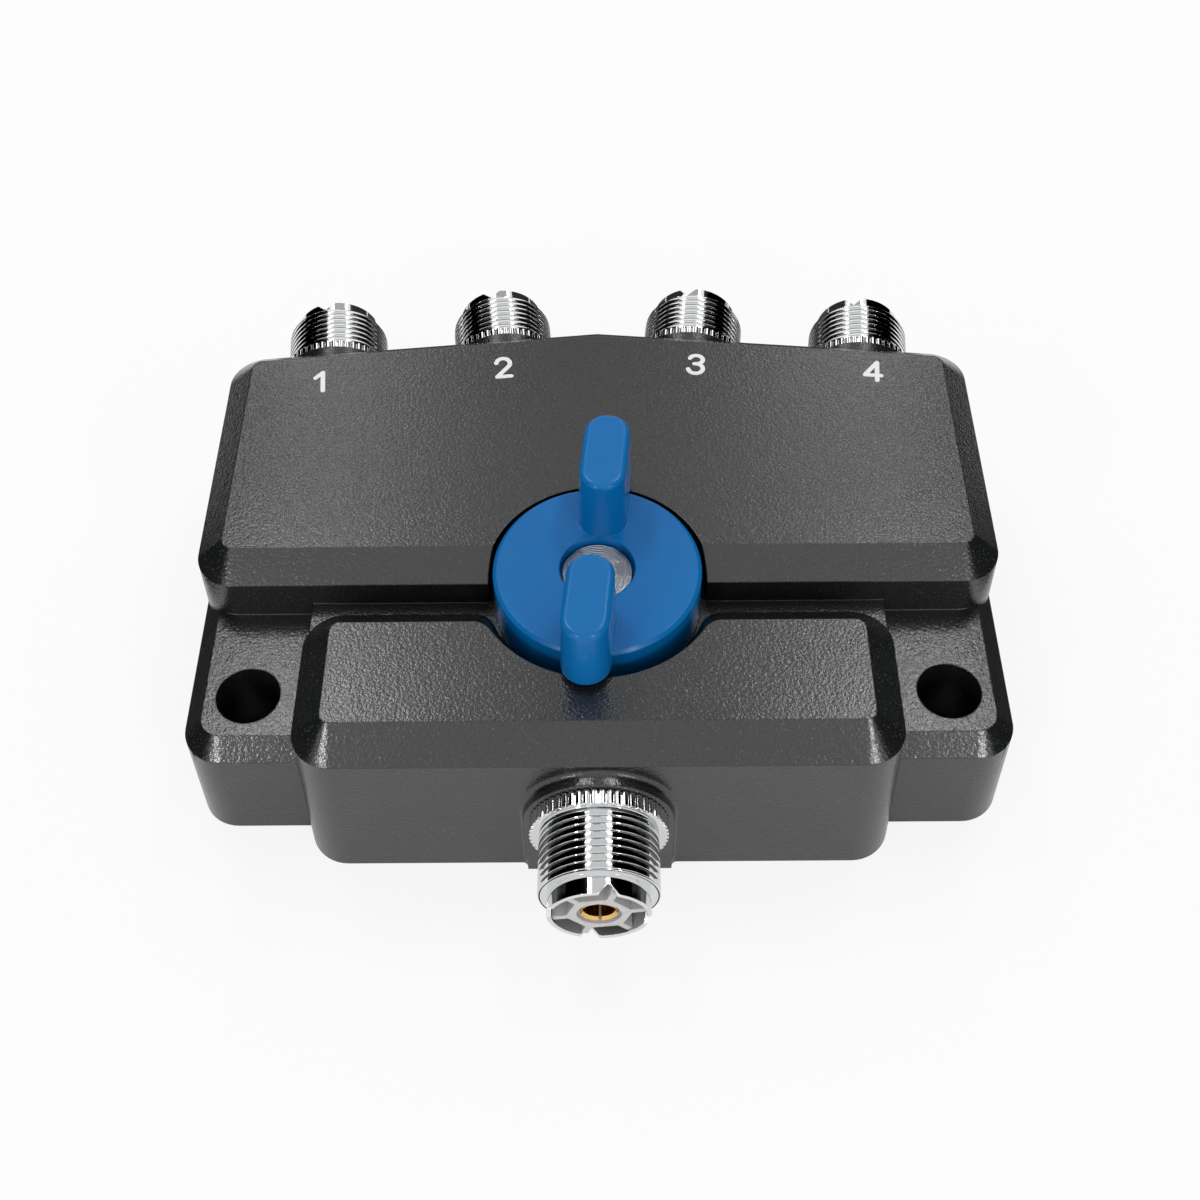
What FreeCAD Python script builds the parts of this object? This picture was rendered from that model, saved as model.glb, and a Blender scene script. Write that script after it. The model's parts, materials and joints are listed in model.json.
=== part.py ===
"""Four-way coaxial antenna switch: a die-cast box with one feed socket, four antenna sockets and a knob.

Frame: millimetres, +Z up, X along the row of antenna sockets, -Y towards the feed socket.
The origin is where the axis of the knob meets the plane that the box stands on.
"""
import FreeCAD, Part
import math
import os

import Sketcher

DOC = FreeCAD.newDocument("coaxial_switch")
V = FreeCAD.Vector
FULL_TURN = 360
HALF_TURN = 180
QUARTER_TURN = 90
HEXAGON = 6
WINDOWS = 6
NOSE_NOTCHES = 4
SPRING_TURNS = 4
EDGE_SAMPLES = 5
NEAR = 1e-3

# Every driving dimension of the switch: name, size in millimetres or degrees, what it measures.
DIMENSIONS = (
    # Casting, outside. Plan sizes are taken where the drafted walls meet the ground.
    ("half_width", 56.6, "half the width of the box"),
    ("draft", 2.0, "lean of every outer wall, degrees"),
    ("block_top", 29.2, "height of the front and rear blocks"),
    ("ear_top", 19.3, "height of the two mounting ears"),
    ("web_top", 21.7, "height of the groove floor between the blocks"),
    ("ear_front", 22.5, "knob axis to the front wall of the ears"),
    ("ear_width", 16.1, "side wall of the box to the side wall of the front block"),
    ("front_face", 28.5, "knob axis to the front wall of the front block"),
    ("front_back", 2.8, "knob axis to the rear wall of the front block"),
    ("rear_front", 0.1, "knob axis to the front wall of the rear block"),
    ("tier_run", 10.0, "how far the lower tiers run on into the rear block"),
    ("apex", 50.1, "knob axis to the crease between the two rear facets"),
    ("facet_tilt", 5.46, "angle between a rear facet and the width of the box, degrees"),
    ("corner_round", 5.5, "radius of the upright corners"),
    ("ear_edge_drop", 2.7, "bevel round the ears, downwards"),
    ("ear_edge_run", 2.55, "bevel round the ears, inwards"),
    ("front_edge_drop", 4.3, "bevel round the front block, downwards"),
    ("front_edge_run", 4.1, "bevel round the front block, inwards"),
    ("rear_edge_drop", 3.5, "bevel round the rear block, downwards"),
    ("rear_edge_run", 3.8, "bevel round the rear block, inwards"),
    # Casting, inside.
    ("side_wall", 4.2, "thickness of the side walls at the ground"),
    ("roof", 3.0, "thickness of the roof over the cavity"),
    ("rim", 2.0, "width of the rim round the bottom cover"),
    ("boss_bite", 0.9, "how far a screw boss sinks into the wall beside it"),
    # Round well that the knob turns in.
    ("well_radius", 15.05, "radius of the well"),
    ("mouth_run", 1.85, "bevel of the well's mouth in the front block, outwards"),
    ("well_wall", 3.1, "thickness of the wall round the well"),
    ("rear_wall_sweep", 150.0, "angle of that wall's rear half, degrees"),
    ("well_wall_bite", 1.5, "how far its front half runs on into the front block's rear wall"),
    ("well_corner_round", 3.0, "rounding of the corners between the well and the groove"),
    # Mounting ears.
    ("ear_hole_side", 9.15, "side wall to the axis of a mounting hole"),
    ("ear_hole_front", 9.55, "front wall of an ear to the axis of its hole"),
    ("ear_bore_radius", 4.36, "radius of the deep counterbore for the screw head"),
    ("ear_screw_radius", 2.25, "radius of the clearance hole for an M4 screw"),
    ("ear_floor", 4.0, "thickness of metal under the screw head"),
    ("ear_tower_wall", 2.95, "thickness of the tower round a mounting hole"),
    # Sockets: places.
    ("socket_height", 13.7, "height of the socket axes"),
    ("outer_port_margin", 15.058, "end of a facet to its outer socket, along the facet"),
    ("inner_port", 14.7, "crease to the inner sockets, along a facet"),
    ("boss_radius", 9.95, "radius of the arched boss behind a socket"),
    ("front_boss_reach", 1.0, "how far the front boss stands out at the ground"),
    ("rear_boss_reach", 2.95, "how far the rear bosses stand out at the ground"),
    ("boss_blend", 0.8, "hollow rounding round the front boss"),
    # Sockets: turned shell, measured outwards from its seat.
    ("thread_radius", 7.9375, "half of the 5/8 inch thread"),
    ("ring_radius", 9.2, "radius of the knurled ring"),
    ("ring_width", 2.2, "width of the knurled ring"),
    ("thread_length", 8.5, "ring to the end of the thread"),
    ("thread_relief", 0.7, "width and depth of the undercut behind the thread"),
    ("thread_bevel", 0.45, "bevel on the end of the thread"),
    ("nose_radius", 6.7, "radius of the plain nose"),
    ("nose_length", 2.75, "length of the plain nose"),
    ("nose_wall", 0.6, "thickness of the nose"),
    ("nose_notch_width", 2.7, "width of the four notches in the nose that locate a plug"),
    ("nose_notch_depth", 1.5, "depth of those notches"),
    ("nose_notch_angle", 11.0, "turn of the uppermost notch from upright, degrees"),
    ("barrel_radius", 7.0, "radius of the barrel through the wall"),
    ("barrel_length", 11.0, "seat to the inner end of the barrel"),
    ("barrel_wall", 2.0, "thickness of the barrel"),
    ("mouth_floor", 1.2, "seat to the step inside the shell"),
    ("fit_gap", 0.05, "radial clearance of a fitted piece"),
    ("nut_wall", 1.5, "thickness of the inner nut at its flats"),
    ("nut_thickness", 2.5, "length of the inner nut"),
    # Sockets: insulator and centre contact.
    ("insulator_setback", 0.35, "insulator face behind the rim of the nose"),
    ("hub_wall", 1.4, "thickness of the insulator round the contact"),
    ("hub_recess", 0.4, "width and depth of the recess in its face, round the contact"),
    ("window_depth", 3.4, "depth of the six windows in the insulator"),
    ("rib_width", 0.9, "width of the ribs between the windows"),
    ("rib_clocking", -19.0, "turn of the uppermost rib from upright, degrees"),
    ("contact_bore", 2.0, "radius of the hole for the 4 mm plug pin"),
    ("contact_wall", 0.44, "thickness of the contact round that hole"),
    ("contact_flare", 0.36, "width of the bevel in the contact's mouth"),
    ("contact_depth", 9.5, "depth of that hole"),
    ("contact_setback", 0.55, "contact end behind the rim of the nose"),
    ("tail_radius", 1.2, "radius of the solder tail"),
    ("tail_length", 4.0, "length of the solder tail past the barrel"),
    # Knob.
    ("rest_turn", -5.4, "where the knob points at rest, degrees from +Y"),
    ("knob_gap", 0.95, "gap between the knob and the wall of its well"),
    ("knob_rise", 1.15, "face of the knob's disc above the blocks"),
    ("disc_thickness", 3.6, "thickness of the disc"),
    ("disc_edge", 0.5, "bevel of the disc's edge"),
    ("skirt_wall", 2.1, "thickness of the skirt"),
    ("skirt_gap", 0.6, "skirt and hub to what they turn above"),
    ("knob_hub_wall", 3.25, "thickness of the hub inside the skirt"),
    ("knob_eye_margin", 0.4, "round eye in the disc, wider than the shaft's seat"),
    ("knob_eye_depth", 1.8, "depth of the eye"),
    ("wing_near", 8.45, "knob axis to the inner round of a wing"),
    ("wing_far", 15.57, "knob axis to the outer round of a wing"),
    ("wing_radius", 3.29, "radius of a wing's rounds at its foot"),
    ("wing_height", 10.35, "height of the wings above the disc"),
    ("wing_draft", 1.15, "lean of a wing's sides, degrees"),
    ("wing_edge", 0.8, "rounding of a wing's top edge"),
    ("grub_radius", 1.5, "radius of the grub screw"),
    ("grub_drop", 4.35, "face of the disc to the axis of the grub screw"),
    # Shaft and bearing.
    ("shaft_radius", 3.0, "radius of the shaft in its bearing"),
    ("seat_radius", 4.7, "radius of the shaft inside the knob"),
    ("seat_setback", 1.05, "end of the shaft below the face of the disc"),
    ("grub_bite", 0.7, "depth of the flat for the grub screw"),
    ("key_bite", 0.7, "depth of the two flats of the shaft's lower end"),
    ("bush_wall", 3.0, "thickness of the bearing bush"),
    ("bush_flange_reach", 1.4, "width of the bush's flange"),
    ("bush_flange_thickness", 1.0, "thickness of the bush's flange"),
    ("washer_thickness", 0.3, "thickness of the thrust washer"),
    ("washer_radius", 5.0, "radius of the thrust washer"),
    ("clip_thickness", 0.6, "thickness of the retaining clip"),
    ("clip_radius", 4.8, "radius of the retaining clip"),
    ("clip_bite", 0.6, "depth of the clip's groove in the shaft"),
    ("axial_play", 0.1, "axial clearance of the turning parts"),
    # Detent.
    ("ball_radius", 1.5, "radius of the detent ball"),
    ("ball_boss_wall", 1.45, "thickness of the boss round the ball's hole"),
    ("ball_boss_length", 4.1, "length of that boss below the roof"),
    ("ball_boss_gap", 0.3, "boss to the bush beside it and to the plate below it"),
    ("ball_gap", 0.03, "running clearance under the ball"),
    ("ball_cap", 1.0, "metal left over the hole for ball and spring"),
    ("notch_radius", 0.9, "radius of the four notches in the detent plate"),
    ("notch_margin", 1.1, "metal left outside the notches"),
    ("stop_gap", 0.3, "stop lug to a pillar in the first and last position"),
    ("detent_plate_thickness", 1.2, "thickness of the detent plate"),
    ("coil_radius", 1.1, "radius of the detent spring's coils"),
    ("wire_radius", 0.2, "radius of the spring's wire"),
    ("position_angle", 30.0, "angle from one switch position to the next, degrees"),
    # Rotor.
    ("rotor_radius", 6.0, "radius of the insulating rotor"),
    ("rotor_neck", 3.9, "rotor's upper face to the top of the output strips"),
    ("rotor_foot", 2.3, "rotor's lower face to the underside of the output strips"),
    ("strip_thickness", 0.8, "thickness of the contact strips"),
    ("strip_width", 4.0, "width of the contact strips"),
    ("blade_thickness", 0.4, "thickness of a rotor blade"),
    ("blade_gap", 0.2, "gap between a blade and the strip that it grips"),
    ("blade_reach", 13.2, "knob axis to the tip of the blades"),
    ("blade_overlap", 2.4, "how far the blades reach over an output strip"),
    ("blade_tail", 3.5, "knob axis to the other end of the blades"),
    ("blade_width", 3.6, "width of the blades"),
    ("button_radius", 3.0, "radius of the centre button's head"),
    ("button_stem", 1.5, "radius of the centre button's stem"),
    ("button_head", 1.0, "thickness of the centre button's head"),
    # Stator.
    ("stator_gap", 0.5, "tip of the blades to the stator plate"),
    ("stator_width", 6.8, "width of the stator plate"),
    ("stator_thickness", 2.0, "thickness of the stator plate"),
    ("stator_sweep", 148.0, "angle covered by the stator plate, degrees"),
    ("pillar_angle", 66.0, "angle of the stator's pillars from +Y, degrees"),
    ("pillar_radius", 2.8, "radius of a pillar"),
    ("small_screw_radius", 1.2, "radius of the stator's screws"),
    ("small_head_radius", 2.2, "radius of their heads"),
    ("small_head_height", 1.4, "height of their heads"),
    ("small_screw_length", 7.0, "length of their shanks"),
    ("rivet_radius", 0.8, "radius of a rivet's shank"),
    ("rivet_head_radius", 1.4, "radius of a rivet's heads"),
    ("rivet_head_height", 0.5, "height of a rivet's heads"),
    ("tail_overlap", 1.5, "tip of a solder tail past its strip"),
    ("strip_rise", 2.4, "end of a strip above the middle of its tail"),
    # Bottom cover.
    ("cover_thickness", 1.6, "thickness of the bottom cover"),
    ("cover_gap", 0.2, "gap round the bottom cover"),
    ("cover_screw_radius", 1.45, "radius of the cover's screws"),
    ("cover_screw_length", 7.0, "length of the cover's screws"),
    ("cover_head_radius", 2.8, "radius of their countersunk heads"),
    ("screw_boss_wall", 1.8, "thickness of the bosses that they bite into"),
    ("side_screw_back", 9.0, "knob axis to the cover screws at the middle of the sides"),
    ("nut_room", 0.5, "inner nut of an outer socket to the screw boss beside it"),
)


class Size:
    """A size that knows its own number and the spreadsheet expression that gives it."""

    def __init__(self, text, value):
        self.text = text
        self.value = value

    @staticmethod
    def of(thing):
        """Return thing as a Size, also where it is a plain number."""
        if isinstance(thing, Size):
            return thing
        return Size("(%r)" % float(thing), float(thing))

    def _join(self, sign, other, value):
        return Size("(%s %s %s)" % (self.text, sign, other.text), value)

    def __add__(self, other):
        other = Size.of(other)
        return self._join("+", other, self.value + other.value)

    def __sub__(self, other):
        other = Size.of(other)
        return self._join("-", other, self.value - other.value)

    def __mul__(self, other):
        other = Size.of(other)
        return self._join("*", other, self.value * other.value)

    def __truediv__(self, other):
        other = Size.of(other)
        return self._join("/", other, self.value / other.value)

    def __radd__(self, other):
        return Size.of(other) + self

    def __rsub__(self, other):
        return Size.of(other) - self

    def __rmul__(self, other):
        return Size.of(other) * self

    def __neg__(self):
        return Size("(-%s)" % self.text, -self.value)


def sine(angle):
    """Sine of an angle in degrees."""
    angle = Size.of(angle)
    return Size("sin(%s)" % angle.text, math.sin(math.radians(angle.value)))


def cosine(angle):
    """Cosine of an angle in degrees."""
    angle = Size.of(angle)
    return Size("cos(%s)" % angle.text, math.cos(math.radians(angle.value)))


def tangent(angle):
    """Tangent of an angle in degrees."""
    angle = Size.of(angle)
    return Size("tan(%s)" % angle.text, math.tan(math.radians(angle.value)))


def arc_cosine(ratio):
    """Angle in degrees whose cosine is a ratio."""
    return Size("(acos(%s) / (1 deg))" % ratio.text, math.degrees(math.acos(ratio.value)))


class Sheet:
    """The spreadsheet of driving dimensions; each alias is an attribute that gives a Size."""

    def __init__(self, dimensions):
        self.cells = DOC.addObject("Spreadsheet::Sheet", "Sizes")
        for number, (alias, size, meaning) in enumerate(dimensions, start=1):
            row = str(number)
            self.cells.set("A" + row, alias)
            self.cells.set("B" + row, str(size))
            self.cells.set("C" + row, meaning)
            self.cells.setAlias("B" + row, alias)
        DOC.recompute()
        for alias, _, _ in dimensions:
            setattr(self, alias, Size("Sizes." + alias, float(self.cells.get(alias))))


mm = Sheet(DIMENSIONS)
NODES = []


# ---------------------------------------------------------------- small helpers

def name_node(thing, label):
    """Give a finished piece its name and put it on the list of sub-parts."""
    thing.Label = label
    NODES.append(thing)
    return thing


def bind(thing, path, size):
    """Tie one property of an object to the spreadsheet."""
    thing.setExpression(path, Size.of(size).text)


def place(thing, x=0, y=0, z=0, yaw=0, pitch=0, roll=0):
    """Tie the placement of an object to the spreadsheet."""
    texts = tuple(Size.of(value).text for value in (x, y, z, yaw, pitch, roll))
    thing.setExpression(
        "Placement",
        "create(<<placement>>; create(<<vector>>; %s; %s; %s); create(<<rotation>>; %s; %s; %s))" % texts)
    return thing


def cylinder(name, radius, height, sweep=FULL_TURN):
    """A Part cylinder, standing on its own origin."""
    solid = DOC.addObject("Part::Cylinder", name)
    bind(solid, "Radius", radius)
    bind(solid, "Height", height)
    bind(solid, "Angle", sweep)
    return solid


def cone(name, low_radius, high_radius, height, sweep=FULL_TURN):
    """A Part cone, standing on its own origin."""
    solid = DOC.addObject("Part::Cone", name)
    bind(solid, "Radius1", low_radius)
    bind(solid, "Radius2", high_radius)
    bind(solid, "Height", height)
    bind(solid, "Angle", sweep)
    return solid


def box(name, length, width, height):
    """A Part box, with a corner at its own origin."""
    solid = DOC.addObject("Part::Box", name)
    bind(solid, "Length", length)
    bind(solid, "Width", width)
    bind(solid, "Height", height)
    return solid


def fuse(name, pieces):
    """Join pieces into one shape."""
    result = DOC.addObject("Part::MultiFuse", name)
    result.Shapes = pieces
    result.Refine = True
    return result


def group(name, pieces):
    """Keep equal pieces together as separate solids of one object."""
    result = DOC.addObject("Part::Compound", name)
    result.Links = pieces
    return result


def cut(name, base, tools):
    """Take tools away from base."""
    result = DOC.addObject("Part::Cut", name)
    result.Base = base
    result.Tool = tools[0] if len(tools) == 1 else fuse(name + "_tools", tools)
    result.Refine = True
    return result


def new_body(name):
    """An empty PartDesign body."""
    return DOC.addObject("PartDesign::Body", name)


def new_sketch(body, name, role):
    """A sketch on one of the body's own origin planes."""
    plane = [item for item in body.Origin.OriginFeatures if item.Role == role][0]
    sketch = body.newObject("Sketcher::SketchObject", name)
    sketch.AttachmentSupport = (plane, [""])
    sketch.MapMode = "FlatFace"
    return sketch


def constrain(sketch, kind, *details):
    """Add a constraint; where its last detail is a Size, tie it to the spreadsheet."""
    size = details[-1]
    if isinstance(size, Size):
        index = sketch.addConstraint(Sketcher.Constraint(kind, *details[:-1], size.value))
        bind(sketch, "Constraints[%d]" % index, size)
    else:
        sketch.addConstraint(Sketcher.Constraint(kind, *details))


def draw_polygon(sketch, corners):
    """Draw a closed polygon whose corners are tied to the spreadsheet."""
    corners = [(Size.of(x), Size.of(y)) for x, y in corners]
    points = [V(x.value, y.value, 0) for x, y in corners]
    edges = [sketch.addGeometry(Part.LineSegment(points[i], points[(i + 1) % len(points)]), False)
             for i in range(len(points))]
    for i, edge in enumerate(edges):
        constrain(sketch, "Coincident", edge, 2, edges[(i + 1) % len(edges)], 1)
    for edge, (x, y) in zip(edges, corners):
        constrain(sketch, "DistanceX", edge, 1, x)
        constrain(sketch, "DistanceY", edge, 1, y)


def draw_slot(sketch, near, far, radius):
    """Draw a slot along the sketch's own Y axis, between two round ends."""
    arcs = []
    for end, first, last in ((near, math.pi, 2 * math.pi), (far, 0, math.pi)):
        circle = Part.Circle(V(0, end.value, 0), V(0, 0, 1), radius.value)
        arcs.append(sketch.addGeometry(Part.ArcOfCircle(circle, first, last), False))
    sides = []
    for x, first, last in ((radius.value, near, far), (-radius.value, far, near)):
        line = Part.LineSegment(V(x, first.value, 0), V(x, last.value, 0))
        sides.append(sketch.addGeometry(line, False))
    for left, right in ((arcs[0], sides[0]), (sides[0], arcs[1]), (arcs[1], sides[1]), (sides[1], arcs[0])):
        constrain(sketch, "Tangent", left, 2, right, 1)
    for arc, end in zip(arcs, (near, far)):
        constrain(sketch, "PointOnObject", arc, 3, -2)
        constrain(sketch, "DistanceY", arc, 3, end)
    constrain(sketch, "Radius", arcs[0], radius)


def pad(body, name, sketch, length):
    """Pad a sketch."""
    feature = body.newObject("PartDesign::Pad", name)
    feature.Profile = sketch
    bind(feature, "Length", length)
    return feature


def revolve(body, name, sketch, sweep=FULL_TURN):
    """Revolve a sketch about its own upright axis."""
    feature = body.newObject("PartDesign::Revolution", name)
    feature.Profile = sketch
    feature.ReferenceAxis = (sketch, ["V_Axis"])
    bind(feature, "Angle", sweep)
    return feature


def turned(name, profile, sweep=FULL_TURN):
    """A body turned about Z from a half profile of (radius, height) corners."""
    body = new_body(name)
    sketch = new_sketch(body, name + "_profile", "XZ_Plane")
    draw_polygon(sketch, profile)
    revolve(body, name + "_turned", sketch, sweep)
    return body


def prism(name, corners, height):
    """A body with a flat outline, padded upwards."""
    body = new_body(name)
    sketch = new_sketch(body, name + "_plan", "XY_Plane")
    draw_polygon(sketch, corners)
    pad(body, name + "_pad", sketch, height)
    return body


def edges_where(shape, test):
    """Names of a shape's edges that pass a test."""
    return ["Edge%d" % (i + 1) for i, edge in enumerate(shape.Edges) if test(edge)]


def on_level(edge, level):
    """Whether an edge lies at one height."""
    return all(abs(vertex.Z - level.value) < 1e-6 for vertex in edge.Vertexes)


def rectangle(x_low, x_high, y_low, y_high):
    """Corners of a rectangle in plan."""
    return [(x_low, y_low), (x_high, y_low), (x_high, y_high), (x_low, y_high)]


# ---------------------------------------------------------------- outlines and places

FRONT_HALF_WIDTH = mm.half_width - mm.ear_width


def facet_y(inset, x):
    """Y of the left or right rear facet, moved inwards by inset, at x from the middle."""
    return mm.apex - inset / cosine(mm.facet_tilt) - x * tangent(mm.facet_tilt)


def rear_outline(front, inset):
    """Plan of the rear block from y = front, moved inwards by inset."""
    half = mm.half_width - inset
    side = facet_y(inset, half)
    crease = (Size.of(0), facet_y(inset, Size.of(0)))
    return [(-half, front), (half, front), (half, side), crease, (-half, side)]


def whole_outline(inset):
    """Plan of the whole box, moved inwards by inset."""
    half = mm.half_width - inset
    front_half = FRONT_HALF_WIDTH - inset
    front = inset - mm.front_face
    ears = inset - mm.ear_front
    rear = rear_outline(ears, inset)[2:]
    return [(-front_half, front), (front_half, front), (front_half, ears), (half, ears)] + rear + [
        (-half, ears), (-front_half, ears)]


class Port:
    """Where a socket sits: its seat on the outside of the box, and the way that it points."""

    def __init__(self, name, side, distance):
        self.name = name
        if side == 0:
            self.x = Size.of(0)
            self.y = -(mm.front_face + mm.front_boss_reach)
            self.yaw, self.roll = Size.of(0), Size.of(QUARTER_TURN)
            self.wall = mm.front_boss_reach + mm.side_wall
            self.direction = (Size.of(0), Size.of(-1))
        else:
            reach = mm.rear_boss_reach
            along, across = cosine(mm.facet_tilt), sine(mm.facet_tilt)
            self.x = side * (distance * along + reach * across)
            self.y = mm.apex - distance * across + reach * along
            self.yaw, self.roll = -side * mm.facet_tilt, Size.of(-QUARTER_TURN)
            self.wall = reach + mm.side_wall
            self.direction = (side * across, along)

    def seat(self, thing, outwards=0):
        """Put a piece that points along its own Z on this port, outwards from the seat."""
        outwards = Size.of(outwards)
        x = self.x + outwards * self.direction[0]
        y = self.y + outwards * self.direction[1]
        return place(thing, x, y, mm.socket_height, self.yaw, 0, self.roll)


OUTER_PORT = mm.half_width / cosine(mm.facet_tilt) - mm.outer_port_margin
PORTS = (
    Port("common", 0, None),
    Port("1", -1, OUTER_PORT),
    Port("2", -1, mm.inner_port),
    Port("3", 1, mm.inner_port),
    Port("4", 1, OUTER_PORT),
)
ANTENNA_PORTS = PORTS[1:]
# Angle of the rotor for each socket, counted anticlockwise from +Y.
POSITIONS = {port.name: steps * mm.position_angle / 2 for port, steps in zip(ANTENNA_PORTS, (3, 1, -1, -3))}


def both_sides(x, y):
    """A place and its mirror image on the other side."""
    return [(-x, y), (x, y)]


# Heights, from the roof of the mechanism downwards.
LOW_ROOF = mm.web_top - mm.roof
HIGH_ROOF = mm.block_top - mm.roof
BUSH_TOP = mm.web_top + mm.bush_flange_thickness
WASHER_TOP = BUSH_TOP + mm.washer_thickness
SHOULDER = WASHER_TOP + mm.axial_play
CLIP_TOP = LOW_ROOF - mm.axial_play
CLIP_LOW = CLIP_TOP - mm.clip_thickness
PLATE_TOP = LOW_ROOF - mm.ball_boss_length - mm.ball_boss_gap
PLATE_LOW = PLATE_TOP - mm.detent_plate_thickness
STRIP_LEVEL = PLATE_LOW - mm.rotor_neck - mm.strip_thickness
ROTOR_LOW = STRIP_LEVEL - mm.rotor_foot
BLADE_LEVELS = {
    "lower": STRIP_LEVEL - mm.blade_gap - mm.blade_thickness,
    "upper": STRIP_LEVEL + mm.strip_thickness + mm.blade_gap,
}
BLADE_TOP = BLADE_LEVELS["upper"] + mm.blade_thickness
SHAFT_LOW = BLADE_TOP + 2 * mm.blade_thickness
STATOR_LOW = STRIP_LEVEL - mm.stator_thickness
DISC_TOP = mm.block_top + mm.knob_rise
GRUB_LEVEL = DISC_TOP - mm.grub_drop

# The bevel of the well's mouth ends level with the bevel of the drafted wall beside it.
MOUTH_DEPTH = mm.front_edge_drop * cosine(mm.draft)

# Radii that follow from others.
BUSH_RADIUS = mm.shaft_radius + mm.bush_wall
BALL_BOSS_RADIUS = mm.ball_radius + mm.ball_boss_wall
DETENT_RADIUS = BUSH_RADIUS + mm.ball_boss_gap + BALL_BOSS_RADIUS
EAR_TOWER_RADIUS = mm.ear_bore_radius + mm.ear_tower_wall
SCREW_BOSS_RADIUS = mm.cover_screw_radius + mm.screw_boss_wall
CONTACT_RADIUS = mm.contact_bore + mm.contact_wall
MOUTH_RADIUS = mm.nose_radius - mm.nose_wall
BARREL_BORE = mm.barrel_radius - mm.barrel_wall
STATOR_INNER = mm.blade_reach + mm.stator_gap
STATOR_MIDDLE = STATOR_INNER + mm.stator_width / 2

# Places in plan.
NOSE_END = mm.ring_width + mm.thread_length + mm.nose_length
SCREW_TO_WALL = mm.side_wall + SCREW_BOSS_RADIUS - mm.boss_bite
SIDE_SCREW = mm.half_width - SCREW_TO_WALL
REAR_SCREW_BACK = facet_y(mm.side_wall, SIDE_SCREW) - mm.nut_thickness - mm.nut_room - SCREW_BOSS_RADIUS
COVER_SCREWS = (
    both_sides(FRONT_HALF_WIDTH - SCREW_TO_WALL, SCREW_TO_WALL - mm.front_face)
    + both_sides(SIDE_SCREW, mm.side_screw_back)
    + both_sides(SIDE_SCREW, REAR_SCREW_BACK))
EAR_HOLES = both_sides(mm.half_width - mm.ear_hole_side, mm.ear_hole_front - mm.ear_front)
PILLARS = both_sides(STATOR_MIDDLE * sine(mm.pillar_angle), STATOR_MIDDLE * cosine(mm.pillar_angle))


# ---------------------------------------------------------------- housing

def cast_block(name, corners, height, rounded, drop=None, run=None):
    """One tier of the casting: drafted walls, round upright corners and a bevelled top edge."""
    body = prism(name, corners, height)
    base = body.Tip
    DOC.recompute()
    draft = body.newObject("PartDesign::Draft", name + "_draft")
    sides = ["Face%d" % number for number, face in enumerate(base.Shape.Faces, start=1)
             if abs(face.normalAt(0, 0).z) < 0.5]
    draft.Base = (base, sides)
    draft.NeutralPlane = ([item for item in body.Origin.OriginFeatures if item.Role == "XY_Plane"][0], [""])
    bind(draft, "Angle", mm.draft)
    DOC.recompute()
    if drop is None:
        return body
    upright = edges_where(draft.Shape, lambda edge: len(edge.Vertexes) == 2 and rounded(edge)
                          and abs(edge.Vertexes[0].Z - edge.Vertexes[1].Z) > height.value / 2)
    fillet = body.newObject("PartDesign::Fillet", name + "_corners")
    fillet.Base = (draft, upright)
    bind(fillet, "Radius", mm.corner_round)
    DOC.recompute()
    rim = edges_where(fillet.Shape, lambda edge: on_level(edge, height))
    bevel = body.newObject("PartDesign::Chamfer", name + "_bevel")
    bevel.Base = (fillet, rim)
    bevel.ChamferType = "Two distances"
    bind(bevel, "Size", drop)
    bind(bevel, "Size2", run)
    return body


def outer_tiers():
    """The four tiers of the casting: ears, web, front block and rear block."""
    ears = rectangle(-mm.half_width, mm.half_width, -mm.ear_front, mm.tier_run)
    web = rectangle(-FRONT_HALF_WIDTH, FRONT_HALF_WIDTH, -mm.ear_front, mm.tier_run)
    front = rectangle(-FRONT_HALF_WIDTH, FRONT_HALF_WIDTH, -mm.front_face, -mm.front_back)
    rear = rear_outline(-mm.rear_front, Size.of(0))

    def everywhere(_):
        return True

    def in_front(edge):
        return edge.CenterOfMass.y < 0

    def off_crease(edge):
        return abs(edge.CenterOfMass.x) > mm.half_width.value / 2

    return [
        cast_block("ears", ears, mm.ear_top, in_front, mm.ear_edge_drop, mm.ear_edge_run),
        cast_block("web", web, mm.web_top, everywhere),
        cast_block("front_block", front, mm.block_top, everywhere, mm.front_edge_drop, mm.front_edge_run),
        cast_block("rear_block", rear, mm.block_top, off_crease, mm.rear_edge_drop, mm.rear_edge_run),
    ]


def socket_bosses():
    """Arched bosses that give each socket a flat seat: a half round on straight flanks."""
    pieces = []
    for port in PORTS:
        depth = port.wall
        arch = port.seat(cylinder("arch_" + port.name, mm.boss_radius, depth), -depth)
        flank = box("flank_" + port.name, 2 * mm.boss_radius, depth, mm.socket_height)
        x = port.x - depth * port.direction[0]
        y = port.y - depth * port.direction[1]
        turn = port.yaw + (HALF_TURN if port.name == "common" else 0)
        corner_x = x - mm.boss_radius * cosine(turn)
        corner_y = y - mm.boss_radius * sine(turn)
        place(flank, corner_x, corner_y, 0, turn)
        pieces += [arch, flank]
    return pieces


def cavities():
    """Hollows that the core of the die leaves, open at the ground."""
    half = mm.half_width - mm.side_wall
    front_half = FRONT_HALF_WIDTH - mm.side_wall
    front = mm.side_wall - mm.front_face
    ear_front = mm.side_wall - mm.ear_front
    rear_front = mm.side_wall - mm.rear_front
    front_back = -(mm.front_back + mm.side_wall)
    return [
        prism("rear_hollow", rear_outline(rear_front, mm.side_wall), HIGH_ROOF),
        prism("front_hollow", rectangle(-front_half, front_half, front, front_back), HIGH_ROOF),
        prism("web_hollow", rectangle(-front_half, front_half, front, rear_front + mm.roof), LOW_ROOF),
        prism("ear_hollow", rectangle(-half, half, ear_front, rear_front + mm.roof), mm.ear_top - mm.roof),
        prism("cover_recess", whole_outline(mm.rim), mm.cover_thickness),
    ]


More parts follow.
